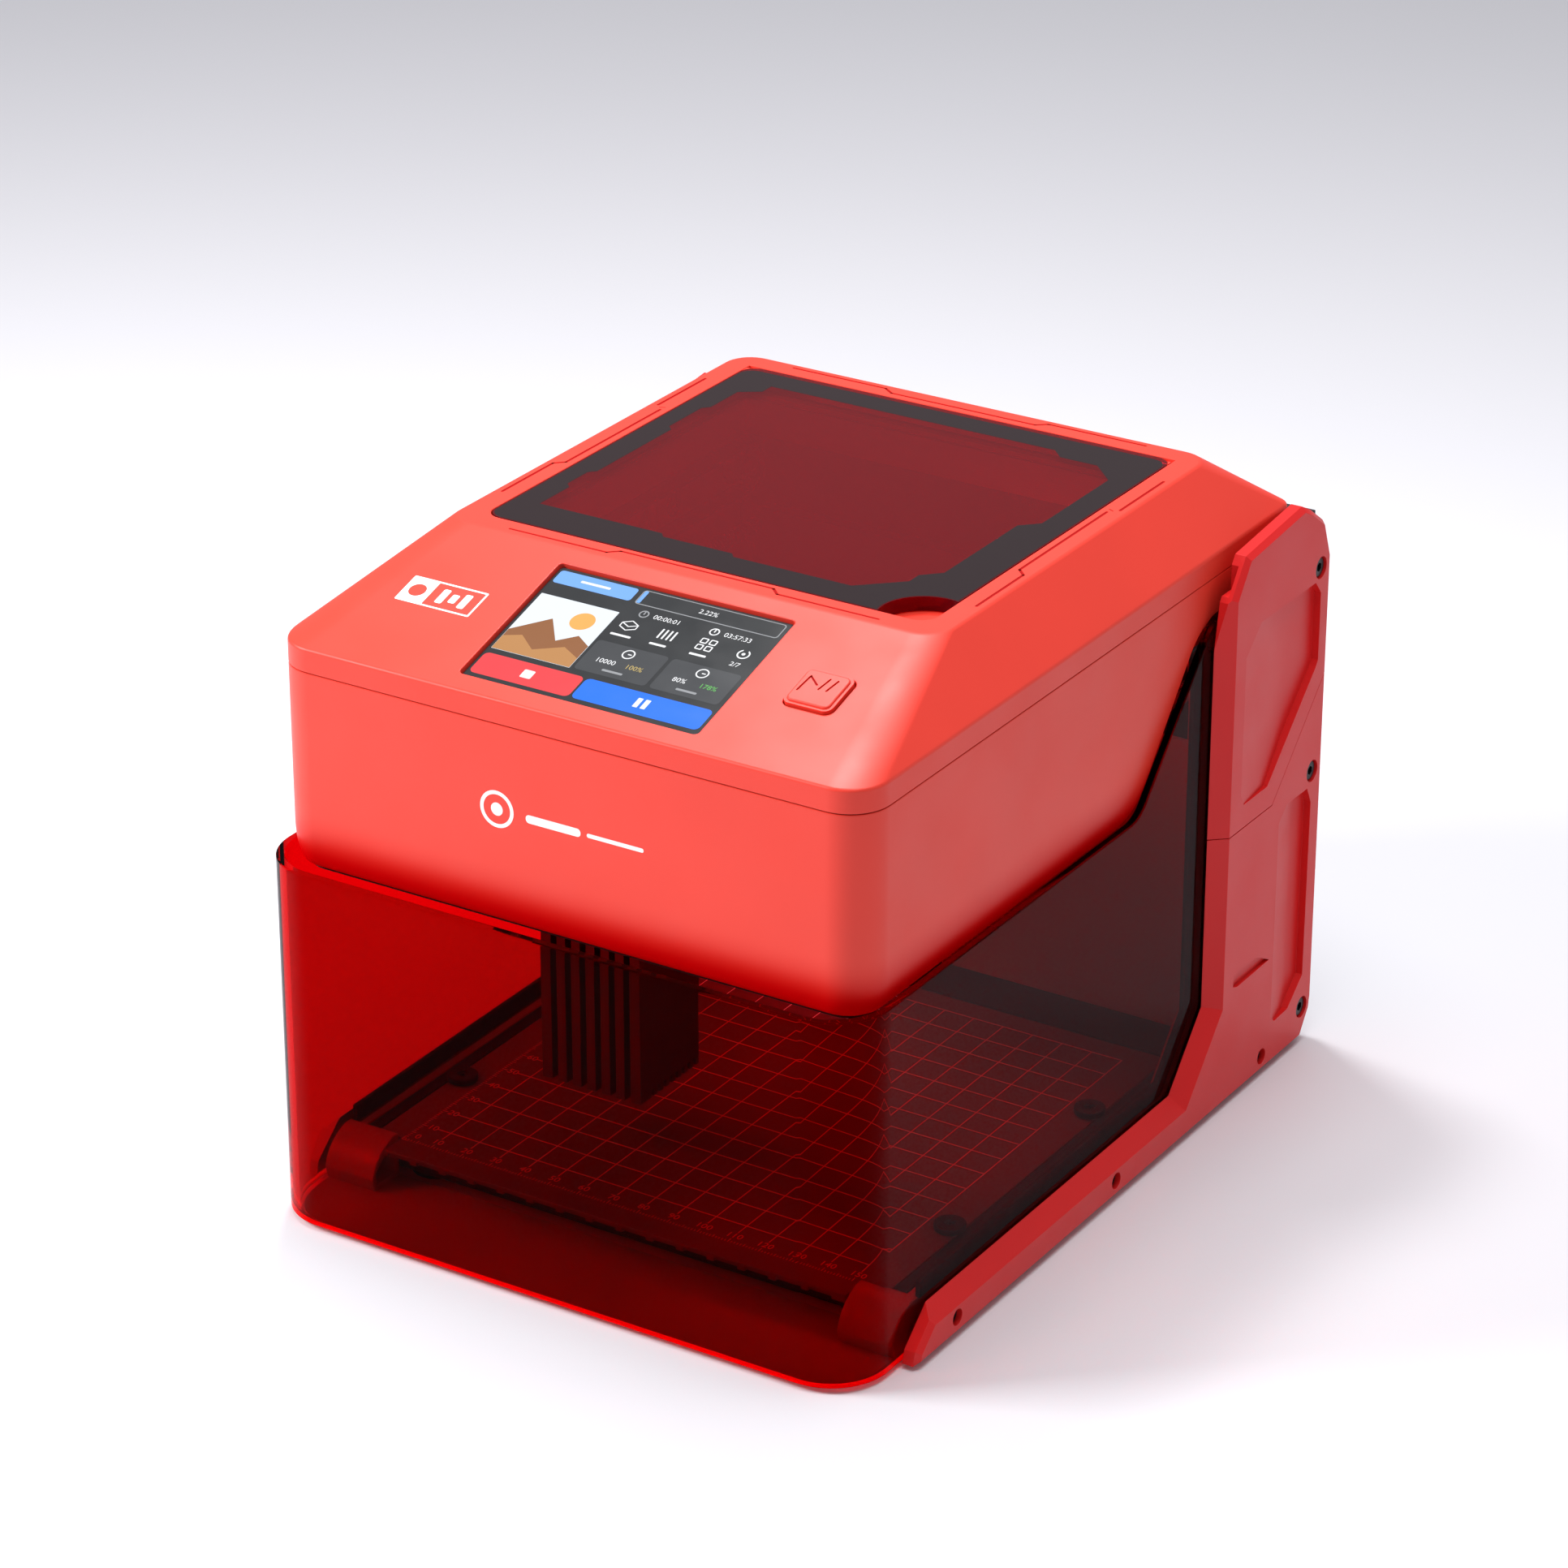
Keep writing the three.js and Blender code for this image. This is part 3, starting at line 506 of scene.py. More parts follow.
# %% Casing sizes
FOOT = cover_high.z - 17.8
FLAT_X, FLAT_FRONT, FLAT_REAR = 78.9, -56.9, 95.3
CORNER_R, REAR_R, FLAT_R = 12.0, 4.5, 8.5
WALL = 2.5
GAP = 0.3
CORNER_STEPS = 9
slope_angle = math.atan2(cover_high.z - FOOT, FLAT_FRONT - cover_low.y)
SLOPE = Matrix.Translation((0, cover_low.y, FOOT)) @ Matrix.Rotation(slope_angle, 4, "X")
print("front slope", round(math.degrees(slope_angle), 1), "degrees")


def ring(x1, y0, y1, z, front_r, rear_r):
    """A level outline of the casing, with its own corner radius at the front and rear."""
    mesh = flat_face(rectangle(-x1, x1, y0, y1), front_r, CORNER_STEPS, (0, 1))
    rear = [v for v in mesh.verts if abs(v.co.y - y1) < 0.01]
    bmesh.ops.bevel(
        mesh, geom=rear, offset=rear_r, offset_type="OFFSET", segments=CORNER_STEPS,
        profile=0.5, affect="VERTICES", material=-1,
    )
    bmesh.ops.translate(mesh, verts=mesh.verts, vec=(0, 0, z))
    return mesh


def loft(*rings):
    """A closed solid through level rings, from the bottom up."""
    mesh = merge(*rings)
    levels = sorted({round(v.co.z, 3) for v in mesh.verts})
    inner = [f for f in mesh.faces if levels[0] + 0.01 < f.verts[0].co.z < levels[-1] - 0.01]
    bmesh.ops.delete(mesh, geom=inner, context="FACES_ONLY")
    for low, high in zip(levels, levels[1:]):
        loops = [
            e for e in mesh.edges
            if abs(e.verts[0].co.z - e.verts[1].co.z) < 0.01
            and min(abs(e.verts[0].co.z - low), abs(e.verts[0].co.z - high)) < 0.01
        ]
        bmesh.ops.bridge_loops(mesh, edges=loops)
    bmesh.ops.recalc_face_normals(mesh, faces=mesh.faces)
    return mesh


def casing(inset, low):
    """The top cover's outside, or its inside when inset by the wall."""
    x, front, rear = cover_high.x - inset, cover_low.y + inset, cover_high.y - inset
    foot = (front, rear, low, CORNER_R - inset, REAR_R - inset * 0.8)
    eave = (front, rear, FOOT - inset * 0.6, CORNER_R - inset, REAR_R - inset * 0.8)
    flat = (
        FLAT_FRONT + inset * 0.4, FLAT_REAR - inset * 0.5, cover_high.z - inset,
        FLAT_R, FLAT_R,
    )
    return loft(ring(x, *foot), ring(x, *eave), ring(FLAT_X - inset * 0.5, *flat))


# %% Bars and grooves
def bar(start, end, width, low, high, edge=0.0):
    """A straight run with round ends, as a cutter or a printed line."""
    (x0, y0), (x1, y1) = start, end
    length = math.hypot(x1 - x0, y1 - y0)
    half = width / 2
    mesh = slab(-half, length + half, -half, half, low, high, half * 0.99, edge, steps=3)
    turn = Matrix.Translation((x0, y0, 0)) @ Matrix.Rotation(math.atan2(y1 - y0, x1 - x0), 4, "Z")
    bmesh.ops.transform(mesh, matrix=turn, verts=mesh.verts)
    return mesh


def run(points, width, low, high):
    """A line of bars from point to point."""
    return merge(*[bar(a, b, width, low, high) for a, b in zip(points, points[1:])])


def side_groove(sign):
    """The bezel's side groove: it steps inwards, and is broken where it steps back."""
    long_part = [(-32.7, 76.5), (-7.7, 76.5), (-5.0, 73.8), (43.4, 73.8)]
    short_part = [(46.3, 76.4), (71.5, 76.4)]
    tick = [(44.9, 74.9), (45.6, 73.5)]
    return [
        ([(sign * x, y) for y, x in part], width)
        for part, width in ((long_part, 0.9), (short_part, 0.9), (tick, 0.45))
    ]


GROOVES = [
    *side_groove(1),
    *side_groove(-1),
    ([(-59, -54.1), (-27.3, -54), (-24.4, -51.3), (24.6, -51.3), (27.4, -54), (59, -54)], 0.9),
    ([(-59, 92.8), (-27.3, 92.8), (-24, 90.4), (24.3, 90.4), (27.3, 92.9), (59, 92.9)], 0.9),
]
GROOVE_DEPTH = 0.2

# %% Top cover
SCREEN = {"x": 1.5, "y": 31.9, "half_x": 37.4, "half_y": 25.1}
BUTTON = {"x": 60.7, "y": 33.0, "half": 7.4}
SCOOP = {"x": 68.0, "y": -45.3, "r": 12.9}
LEDGE = lid_low.z - GAP
SINK = 0.6


def slope_pad(at, half_x, half_y, low, high, round_mm, edge=0.0, steps=6):
    """A pad on the front slope, drawn flat and then tipped into place."""
    mesh = slab(
        at["x"] - half_x, at["x"] + half_x, at["y"] - half_y, at["y"] + half_y,
        low, high, round_mm, edge, steps=steps,
    )
    bmesh.ops.transform(mesh, matrix=SLOPE, verts=mesh.verts)
    return mesh


def window_frame(grow, low, high, round_mm):
    """A prism over the window, grown or shrunk all round."""
    return slab(
        lid_low.x - grow, lid_high.x + grow, lid_low.y - grow, lid_high.y + grow,
        low, high, round_mm,
    )


outside = break_edges(casing(0, cover_low.z), 0.8, 4, 14, lambda e: e.verts[0].co.z > FOOT - 1
                      and abs(e.verts[0].co.z - e.verts[1].co.z) < 0.01)
hollow = carve(casing(WALL, cover_low.z - 5), window_frame(2.2, LEDGE - 2.5, 210, 5))
scoop_seat = post(SCOOP["r"] + 1, 140, LEDGE, (67, -44.3), sides=64)
sight = carve(window_frame(-4, 150, 210, 4), scoop_seat)
shell = carve(outside, hollow)
LID_R = 5
opening = rectangle(lid_low.x - GAP, lid_high.x + GAP, lid_low.y - GAP, lid_high.y + GAP)
opening = flat_face(opening, LID_R, 6, (0, 1))
shell = carve(shell, raise_solid(opening, LEDGE, 210))
shell = carve(shell, sight)
recess = slope_pad(SCREEN, SCREEN["half_x"] + 0.3, SCREEN["half_y"] + 0.3, -2.2 - SINK, 6, 1.4)
shell = carve(shell, recess)
through = slope_pad(SCREEN, SCREEN["half_x"] - 2, SCREEN["half_y"] - 2, -9, 6, 1)
shell = carve(shell, through)
well = slope_pad(BUTTON, BUTTON["half"] + 0.35, BUTTON["half"] + 0.35, -12, 6, 2.7)
shell = carve(shell, well)
for line, width in GROOVES:
    cutter = run(line, width, cover_high.z - GROOVE_DEPTH, cover_high.z + 2)
    shell = carve(shell, cutter, overlapping=True)
UPRIGHT = SLOPE.inverted()


def opening_rim(e):
    """The rims of the screen recess, the button well and the window opening."""
    a, b = (UPRIGHT @ v.co for v in e.verts)
    on_slope = abs(a.z) < 0.03 and abs(b.z) < 0.03 and 3 < a.y < 60 and 3 < b.y < 60
    rims = [v.co for v in e.verts]
    on_flat = all(abs(p.z - cover_high.z) < 0.03 and abs(p.x) < 71.4 for p in rims)
    inside = all(-49.3 < p.y < 88.1 for p in rims)
    return on_slope or (on_flat and inside)


shell = break_edges(shell, 0.45, 3, 40, opening_rim)
top_shell = stand_in("top_cover_shell", shell, coral, "top_cover", smooth=24)
print("top cover faces", len(top_shell.data.polygons))

# %% [markdown]
# A groove looks darker than the skin because it shades itself. This one is shallow, so a
# thin line of deeper red laid on its floor, as painted shade, keeps it crisp from far away.

# %% Groove floors
floors = None
for line, width in GROOVES:
    low = cover_high.z - GROOVE_DEPTH
    strip = run(line, width * 0.94, low + 0.01, low + 0.1)
    floors = strip if floors is None else merge(floors, strip)
piece("bezel_groove_painted_shade", floors, "base", groove_shade_red)

# %% [markdown]
# ## Main housing
# A rounded box tube. Its lower edge climbs at the rear to clear the rail pillars, so the
# side outline is drawn first and the plan is cut from it. The lowest 12 mm curve inwards:
# the block is sliced into thin levels, and each level is drawn in along an ellipse.

# %% Main housing
rise_end = 156.0
side_view = [
    (housing_low.y - 2, housing_low.z),
    (24.5, housing_low.z),
    (63.5, rise_end),
    (housing_high.y + 2, rise_end),
    (housing_high.y + 2, housing_high.z),
    (housing_low.y - 2, housing_high.z),
]
profile = flat_face(side_view, 9, 8, (1, 2))
profile = raise_solid(profile, housing_low.x - 1, housing_high.x + 1, "x")
plan = ring(housing_high.x, housing_low.y, housing_high.y, 0, CORNER_R, REAR_R)
block = carve(raise_solid(plan, 90, 180), profile, "INTERSECT")


def lower_edge(e):
    """The bottom rim, without the upright corners and the line across the front."""
    a, b = e.verts
    bottom = max(a.co.z, b.co.z) < housing_high.z - 1 and not (
        abs(a.co.x - b.co.x) < 0.01 and abs(a.co.y - b.co.y) < 0.01
    )
    across = abs(a.co.x - b.co.x) > 150 and abs(a.co.y) < 110
    return bottom and not across


BAND, TUCK = 12.0, 2.9
CORE_X, CORE_Y = housing_high.x - CORNER_R, housing_low.y + CORNER_R
for step in range(1, 11):
    level = housing_low.z + BAND * (1 - math.cos(math.radians(9 * step)))
    bmesh.ops.bisect_plane(
        block, geom=[*block.verts, *block.edges, *block.faces],
        plane_co=(0, 0, level), plane_no=(0, 0, 1),
    )
for v in block.verts:
    rise = (housing_low.z + BAND - v.co.z) / BAND
    core = Vector((max(-CORE_X, min(CORE_X, v.co.x)), max(CORE_Y, v.co.y), v.co.z))
    if rise > 0 and (v.co - core).length > 1:
        tuck = TUCK * (1 - math.sqrt(max(0, 1 - rise * rise)))
        v.co -= (v.co - core).normalized() * tuck
block = break_edges(block, 1.1, 3, 50, lower_edge)


def upper_rim(e):
    return min(v.co.z for v in e.verts) > housing_high.z - 0.1


block = break_edges(block, 0.5, 2, 60, upper_rim)
SIDE_WALL = 4.2
room = ring(
    housing_high.x - SIDE_WALL, housing_low.y + SIDE_WALL, housing_high.y - WALL, 0,
    CORNER_R - SIDE_WALL, 2,
)
housing = carve(block, raise_solid(room, 80, 190))
stand_in("housing_shell", housing, coral_housing_painted_shade, "main_housing", smooth=24)
SEAM = (167.42, 167.63)
gasket = ring(93.72, housing_low.y + 0.38, housing_high.y - 0.4, 0, 11.6, 4.1)
gasket = raise_solid(gasket, *SEAM)
seam_core = raise_solid(ring(91, housing_low.y + 3, housing_high.y - 3, 0, 9, 2), 160, 175)
seam_black = finish("seam_rubber", (0.02, 0.004, 0.004), 0.7)
drift(seam_black, 0.3, 0.62, 0.78)
piece("casing_gasket", carve(gasket, seam_core), "base", seam_black)
lip = slab(-89.9, 89.9, housing_low.y + 4.5, 18, 106.9, housing_low.z - 0.05, 7.5)
lip_core = slab(-88.1, 88.1, housing_low.y + 6.3, 30, 100, 112, 6)
piece("casing_lip_seal", carve(lip, lip_core), "base", rubber)
print("housing ready")

# %% [markdown]
# ## Visor
# The visor is one bent sheet: two sides and a front with a generous bend. The side
# outline is cut from the bent tube, and every cut edge is polished round. Light that
# enters coloured acrylic comes out at its edges, so a thin strip that glows, painted
# light, lies in the lowest.

# %% Visor
SHEET = 2.6
BEND_R = 18.0
visor_view = [
    (visor_low.y - 3, visor_low.z),
    (57, visor_low.z),
    (visor_high.y - 1, 33),
    (visor_high.y, 40),
    (visor_high.y, 151),
    (79, visor_high.z),
    (66, visor_high.z),
    (24.3, 111.5),
    (visor_low.y - 3, 111.5),
]


def bent_sheet(inset, low, high, rear):
    """The visor's plan as a solid: square at the rear, bent at the two front corners."""
    face = flat_face(
        rectangle(visor_low.x + inset, visor_high.x - inset, visor_low.y + inset, rear),
        BEND_R - inset, 18, (0, 1),
    )
    return raise_solid(face, low, high)


outer = bent_sheet(0, -10, 190, visor_high.y + 1)
visor_side = flat_face(visor_view, 4.5, 6, (1, 5, 6, 7))
visor_side = raise_solid(visor_side, visor_low.x - 1, visor_high.x + 1, "x")
visor_solid = carve(outer, visor_side, "INTERSECT")
visor_solid = carve(visor_solid, bent_sheet(SHEET, -20, 200, 140))
hinge_y, hinge_z = 74.0, 147.0
visor_solid = carve(visor_solid, post(4.06, -120, 120, (hinge_y, hinge_z), "x", 48))
visor_solid = break_edges(visor_solid, 0.55, 3, 50)
stand_in("visor_sheet", visor_solid, red_acrylic, "visor", smooth=24)
edge_low = visor_low.z + 0.2
# Painted light: a thin strip along the lowest edge glows, standing in for light that leaves the
# acrylic there.
glow_strip = carve(
    bent_sheet(0.3, edge_low, edge_low + 0.6, 50),
    bent_sheet(1.7, edge_low - 1, edge_low + 2, 60),
)
edge_glow = finish(
    "lit_edge", (0.95, 0.06, 0.01), 0.5,
    Emission_Color=(1, 0.05, 0.01, 1), Emission_Strength=0.5,
)
drift(edge_glow, 0.1, 0.4, 0.6)
piece("visor_lit_edge", glow_strip, "visor", edge_glow)
print("visor ready")

# %% [markdown]
# ## Window lid
# The lid is a smoked plate. A gloss black border is printed on it with small steps in
# its inner edge, and it hides the seat that the lid rests on. A thin black frame is
# screwed under that seat, and two corner caps carry the hinge pins.

# %% Window lid
half_thick = (lid_high.z - lid_low.z) / 2
plate = slab(lid_low.x, lid_high.x, lid_low.y, lid_high.y, lid_low.z, lid_high.z, LID_R)


def hinge_edge(e):
    """The rear edge, which is rolled round the hinge so that the lid can turn."""
    a, b = (v.co for v in e.verts)
    return min(a.y, b.y) > lid_high.y - 4 and abs(a.z - b.z) < 0.01


plate = break_edges(plate, half_thick - 0.01, 7, 50, hinge_edge)
scoop = post(SCOOP["r"], 150, 220, (SCOOP["x"], SCOOP["y"]), sides=96)
plate = break_edges(carve(plate, scoop), 0.35, 3, 50)
stand_in("lid_plate", plate, smoked, "window_lid", smooth=24)

CAP = 4.2


def corner_cap(sign):
    """A cap over a hinge pin. It fills the gap between the lid's round corner and the
    opening's square one, so that the corner has room to swing."""
    x0, x1 = sorted((sign * (lid_high.x - CAP), sign * lid_high.x))
    block = slab(x0, x1, lid_high.y - CAP, lid_high.y, lid_low.z, lid_high.z)
    block = break_edges(block, half_thick - 0.01, 7, 50, hinge_edge)
    corner = (sign * (lid_high.x - LID_R), lid_high.y - LID_R)
    return carve(block, post(LID_R + 0.05, 150, 220, corner, sides=96))


caps = merge(corner_cap(1), corner_cap(-1))
piece("lid_corner_caps", caps, "window_lid", coral)


def border_outline(x, front, rear):
    """The printed border's inner outline, with a few steps on each side."""
    step = 1.9
    return [
        (-x, front), (-22, front), (-20.5, front - step), (2, front - step),
        (3.5, front - 2 * step), (41, front - 2 * step), (x - 10, front + 7),
        (x - 10, front + 12), (x - 5, front + 17),
        (x - 5, 22), (x, 27), (x, rear - 12), (x - 8, rear - 4), (x - 20, rear - 4),
        (x - 24, rear), (-x + 6, rear), (-x + 6, rear - 5), (-x, rear - 9), (-x, 53),
        (-x - step, 51), (-x - step, 34), (-x, 32), (-x, -6), (-x - step, -8), (-x - step, -18),
        (-x, -20),
    ]


ink = lid_high.z - 0.04
print_face = slab(
    lid_low.x + 0.45, lid_high.x - 0.45, lid_low.y + 0.45, lid_high.y - 2.3, ink, ink + 0.06, 4.6
)
window = raise_solid(flat_face(border_outline(62.6, -34.5, 76.5)), ink - 2, ink + 3)
print_face = carve(print_face, window)
keep_scoop = post(SCOOP["r"] + 0.45, 150, 220, (SCOOP["x"], SCOOP["y"]), sides=96)
print_face = carve(print_face, keep_scoop)
ink_black = finish("printed_black", (0.014, 0.006, 0.007), 0.14, Specular_IOR_Level=0.22)
drift(ink_black, 0.2, 0.12, 0.2)
piece("lid_printed_border", print_face, "window_lid", ink_black)
frame_top = LEDGE - 2.6
sight_line = window_frame(-5.2, frame_top - 3, frame_top + 3, 3)
inner_frame = carve(window_frame(0, frame_top - 1.2, frame_top, 4), sight_line)
inner_frame = break_edges(inner_frame, 0.25, 2, 50)
piece("window_inner_frame", inner_frame, "base", black_plastic)
print("lid ready")

# %% [markdown]
# ## Flat prints and small bars
# Printed lines, icons and ruler marks are plates a few hundredths of a millimetre
# thick. Numerals start as a text curve and are turned into plain mesh.


# %% Print helpers
def blocks(boxes):
    """Plain bars from a list of (x0, x1, y0, y1, z0, z1)."""
    mesh = bmesh.new()
    for x0, x1, y0, y1, z0, z1 in boxes:
        middle = Matrix.Translation(((x0 + x1) / 2, (y0 + y1) / 2, (z0 + z1) / 2))
        size = Matrix.Diagonal((x1 - x0, y1 - y0, z1 - z0, 1))
        bmesh.ops.create_cube(mesh, size=1, matrix=middle @ size)
    return mesh


def numeral(text, size, x, y, low, high):
    """Plain figures, centred on a point."""
    curve = bpy.data.curves.new("figures", "FONT")
    curve.body = text
    curve.size = size
    curve.align_x = "CENTER"
    curve.align_y = "CENTER"
    curve.resolution_u = 3
    curve.extrude = (high - low) / 2
    holder = bpy.data.objects.new("figures", curve)
    bpy.context.scene.collection.objects.link(holder)
    ready = holder.evaluated_get(bpy.context.evaluated_depsgraph_get())
    mesh = bmesh.new()
    mesh.from_mesh(ready.to_mesh())
    ready.to_mesh_clear()
    bpy.data.objects.remove(holder)
    bpy.data.curves.remove(curve)
    bmesh.ops.translate(mesh, verts=mesh.verts, vec=(x, y, (low + high) / 2))
    return mesh


def annulus(outer_r, inner_r, low, high, centre, axis="z", sides=32):
    """A flat ring."""
    disc = post(outer_r, low, high, centre, axis, sides)
    return carve(disc, post(inner_r, low - 1, high + 1, centre, axis, sides))


def on_slope(mesh, at):
    """Moves a print drawn about its own centre to a place on the front slope."""
    bmesh.ops.translate(mesh, verts=mesh.verts, vec=(at["x"], at["y"], 0))
    bmesh.ops.transform(mesh, matrix=SLOPE, verts=mesh.verts)
    return mesh


# %% [markdown]
# ## Touch screen
# The cover glass sits a little under the rim of its recess. The picture on it is made of
# thin lit plates: a status bar, a preview picture, two rows of icons, two value tiles
# and the two big buttons.

# %% Screen finishes
glass_black = finish("cover_glass", (0.03, 0.032, 0.035), 0.09, Specular_IOR_Level=0.2)
drift(glass_black, 0.05, 0.07, 0.12)


def lit(name, colour, strength=0.75):
    """A part of the display's picture: mostly its own light, under a glossy surface."""
    dim = [c * 0.25 for c in colour]
    material = finish(
        name, dim, 0.2, Emission_Color=(*colour, 1), Emission_Strength=strength,
        Specular_IOR_Level=0.12,
    )
    return drift(material, 0.1, 0.16, 0.24)


ui = {
    "panel": lit("ui_panel", (0.045, 0.047, 0.05)),
    "tile": lit("ui_tile", (0.075, 0.078, 0.084)),
    "pale_blue": lit("ui_pale_blue", (0.20, 0.42, 0.90)),
    "blue": lit("ui_blue", (0.035, 0.19, 0.95)),
    "red": lit("ui_red", (0.86, 0.075, 0.085)),
    "white": lit("ui_white", (0.85, 0.86, 0.88)),
    "dim": lit("ui_dim", (0.34, 0.35, 0.37)),
    "gold": lit("ui_gold", (0.55, 0.42, 0.16)),
    "green": lit("ui_green", (0.15, 0.5, 0.13)),
    "sky": lit("ui_sky", (0.75, 0.80, 0.86)),
    "sun": lit("ui_sun", (0.85, 0.42, 0.12)),
    "hill": lit("ui_hill", (0.30, 0.13, 0.06)),
    "near_hill": lit("ui_near_hill", (0.50, 0.25, 0.10)),
}
glass = break_edges(copy_of("touchscreen"), 0.25, 2, 32)
bmesh.ops.translate(glass, verts=glass.verts, vec=SLOPE.to_3x3() @ Vector((0, 0, -SINK)))
stand_in("touchscreen_glass", glass, glass_black, "touchscreen")
LEVEL = [z - SINK for z in (-0.58, -0.55, -0.52, -0.49, -0.46)]
LAYER = 0.02
picture = {}


def show(tone, mesh):
    """Adds a flat shape to the display's picture."""
    shape = on_slope(mesh, SCREEN)
    picture[tone] = shape if tone not in picture else merge(picture[tone], shape)


def chip(tone, level, u0, u1, v0, v1, round_mm=0.0):
    show(tone, slab(u0, u1, v0, v1, LEVEL[level], LEVEL[level] + LAYER, round_mm, steps=4))


def hoop(tone, level, u, v, outer_r, inner_r):
    show(tone, annulus(outer_r, inner_r, LEVEL[level], LEVEL[level] + LAYER, (u, v)))


def figures(tone, level, text, size, u, v):
    show(tone, numeral(text, size, u, v, LEVEL[level], LEVEL[level] + LAYER))


# %% Display picture
chip("panel", 0, -36.9, 36.9, -24.5, 24.5, 1)
chip("pale_blue", 1, -36.4, -11.2, 18.4, 23.8, 1)
chip("white", 2, -28.5, -19, 20.7, 21.6, 0.3)
chip("dim", 1, -9.6, 35.6, 18.1, 24.1, 1)
chip("panel", 2, -9.3, 35.3, 18.4, 23.8, 0.8)
chip("pale_blue", 3, -9.2, -8.0, 18.5, 23.7, 0.4)
figures("white", 3, "2.22%", 2.5, 12.5, 21.1)
chip("sky", 1, -36.2, -11.0, -12.1, 13.2, 0.2)
show("sun", post(3.6, LEVEL[2], LEVEL[2] + LAYER, (-18.5, 6.2), sides=40))
far = flat_face([
    (-36.1, -12), (-11.1, -12), (-11.1, -2.5), (-16, 0.5), (-21, -3.5), (-27, 4.5), (-36.1, -3.5),
])
show("hill", raise_solid(far, LEVEL[2] + 0.004, LEVEL[2] + 0.024))
near = flat_face([
    (-36.1, -12), (-11.1, -12), (-11.1, -8), (-17, -5), (-25, -9), (-31, -4.5), (-36.1, -6.5),
])
show("near_hill", raise_solid(near, LEVEL[3], LEVEL[3] + LAYER))

for u, text, tone in ((-4.2, "00:00:01", "dim"), (18.2, "03:57:33", "white")):
    hoop(tone, 1, u, 14.8, 1.5, 1.1)
    show(tone, blocks([(u - 0.2, u + 0.2, 14.6, 16, LEVEL[1], LEVEL[1] + LAYER)]))
    figures("white", 1, text, 2.5, u + 7.4, 14.7)

box_icon = [(-5.4, 11.2), (-2.9, 9.9), (-2.9, 8.3), (-5.4, 7.1), (-7.9, 8.3), (-7.9, 9.9)]
show("white", run([*box_icon, box_icon[0]], 0.34, LEVEL[1], LEVEL[1] + LAYER))
show("white", run([box_icon[5], (-5.4, 8.7), box_icon[1]], 0.34, LEVEL[1], LEVEL[1] + LAYER))
for u in (4.6, 6.0, 7.4, 8.8):
    chip("white", 1, u - 0.28, u + 0.28, 7.2, 11.2, 0.2)
for u, v in ((17.6, 10.6), (20.4, 10.6), (17.6, 7.9), (20.4, 7.9)):
    chip("white", 1, u - 1.1, u + 1.1, v - 1.1, v + 1.1, 0.4)
    chip("panel", 2, u - 0.7, u + 0.7, v - 0.7, v + 0.7, 0.2)
hoop("white", 1, 30.7, 9.2, 1.9, 1.45)
chip("panel", 2, 29.9, 31.5, 10.2, 11.4)
show("white", post(0.55, LEVEL[3], LEVEL[3] + LAYER, (30.7, 9.2), sides=20))
for u, half in ((-5.4, 3.2), (6.4, 2.6), (19.0, 2.6)):
    chip("white", 1, u - half, u + half, 4.3, 5.1, 0.3)
figures("white", 1, "2/7", 2.4, 30.7, 4.6)

for u0, u1, value, share, tone in (
    (-10, 12.6, "10000", "100%", "gold"),
    (13.8, 35.4, "80%", "178%", "green"),
):
    middle = (u0 + u1) / 2
    chip("tile", 1, u0, u1, -11.8, 1.2, 1.2)
    hoop("white", 2, middle, -1.7, 1.9, 1.5)
    chip("white", 2, middle - 0.2, middle + 1.0, -1.9, -1.5, 0.15)
    figures("white", 2, value, 2.5, middle - 4.4, -6.4)
    figures(tone, 2, share, 2.5, middle + 4.6, -6.4)
    chip("dim", 2, middle - 3.4, middle + 3.0, -10.1, -9.3, 0.3)
chip("red", 1, -36.4, -4.6, -22.9, -14.1, 1.6)
chip("white", 2, -21.9, -18.5, -20.1, -16.8, 0.4)
chip("blue", 1, -3.9, 35.9, -22.7, -14.1, 1.6)
for u in (14.7, 17.1):
    chip("white", 2, u - 0.75, u + 0.75, -20.2, -16.4, 0.2)
for tone, mesh in picture.items():
    piece(f"display_{tone}", mesh, "base", ui[tone])
print("display layers", len(picture))

# %% [markdown]
# ## Start button
# A coral cap with soft edges and an arrow beside two bars pressed into its top.

# %% Start button
cap = copy_of("start_button")
cap = break_edges(cap, 0.55, 4, 40, lambda e: all((UPRIGHT @ v.co).z > 1.4 for v in e.verts))
icon = [
    ((55.6, 30.6), (56.2, 36.8)), ((56.2, 36.8), (59.6, 34.0)),
    ((60.9, 32.6), (61.9, 37.2)), ((63.3, 32.6), (64.3, 37.2)),
]
cutters = []
for start, end in icon:
    stroke = bar(start, end, 0.62, 1.05, 4)
    bmesh.ops.transform(stroke, matrix=SLOPE, verts=stroke.verts)
    cap = carve(cap, stroke, overlapping=True)
stand_in("start_button_cap", cap, coral, "start_button", smooth=30)
# Painted shade: a deeper red line on the floor of each pressed stroke.
lines = None
for start, end in icon:
    stroke = bar(start, end, 0.5, 1.06, 1.12)
    bmesh.ops.transform(stroke, matrix=SLOPE, verts=stroke.verts)
    lines = stroke if lines is None else merge(lines, stroke)
piece("start_button_icon_shade", lines, "start_button", groove_shade_red)
eased("button_switch", black_plastic, 0.3)
eased("mainboard", solder_mask, 0.2)
print("button ready")

# %% [markdown]
# ## Printed marks
# Plain shapes stand where a maker would print a name: a framed badge on the slope and a
# ring with two bars on the front.

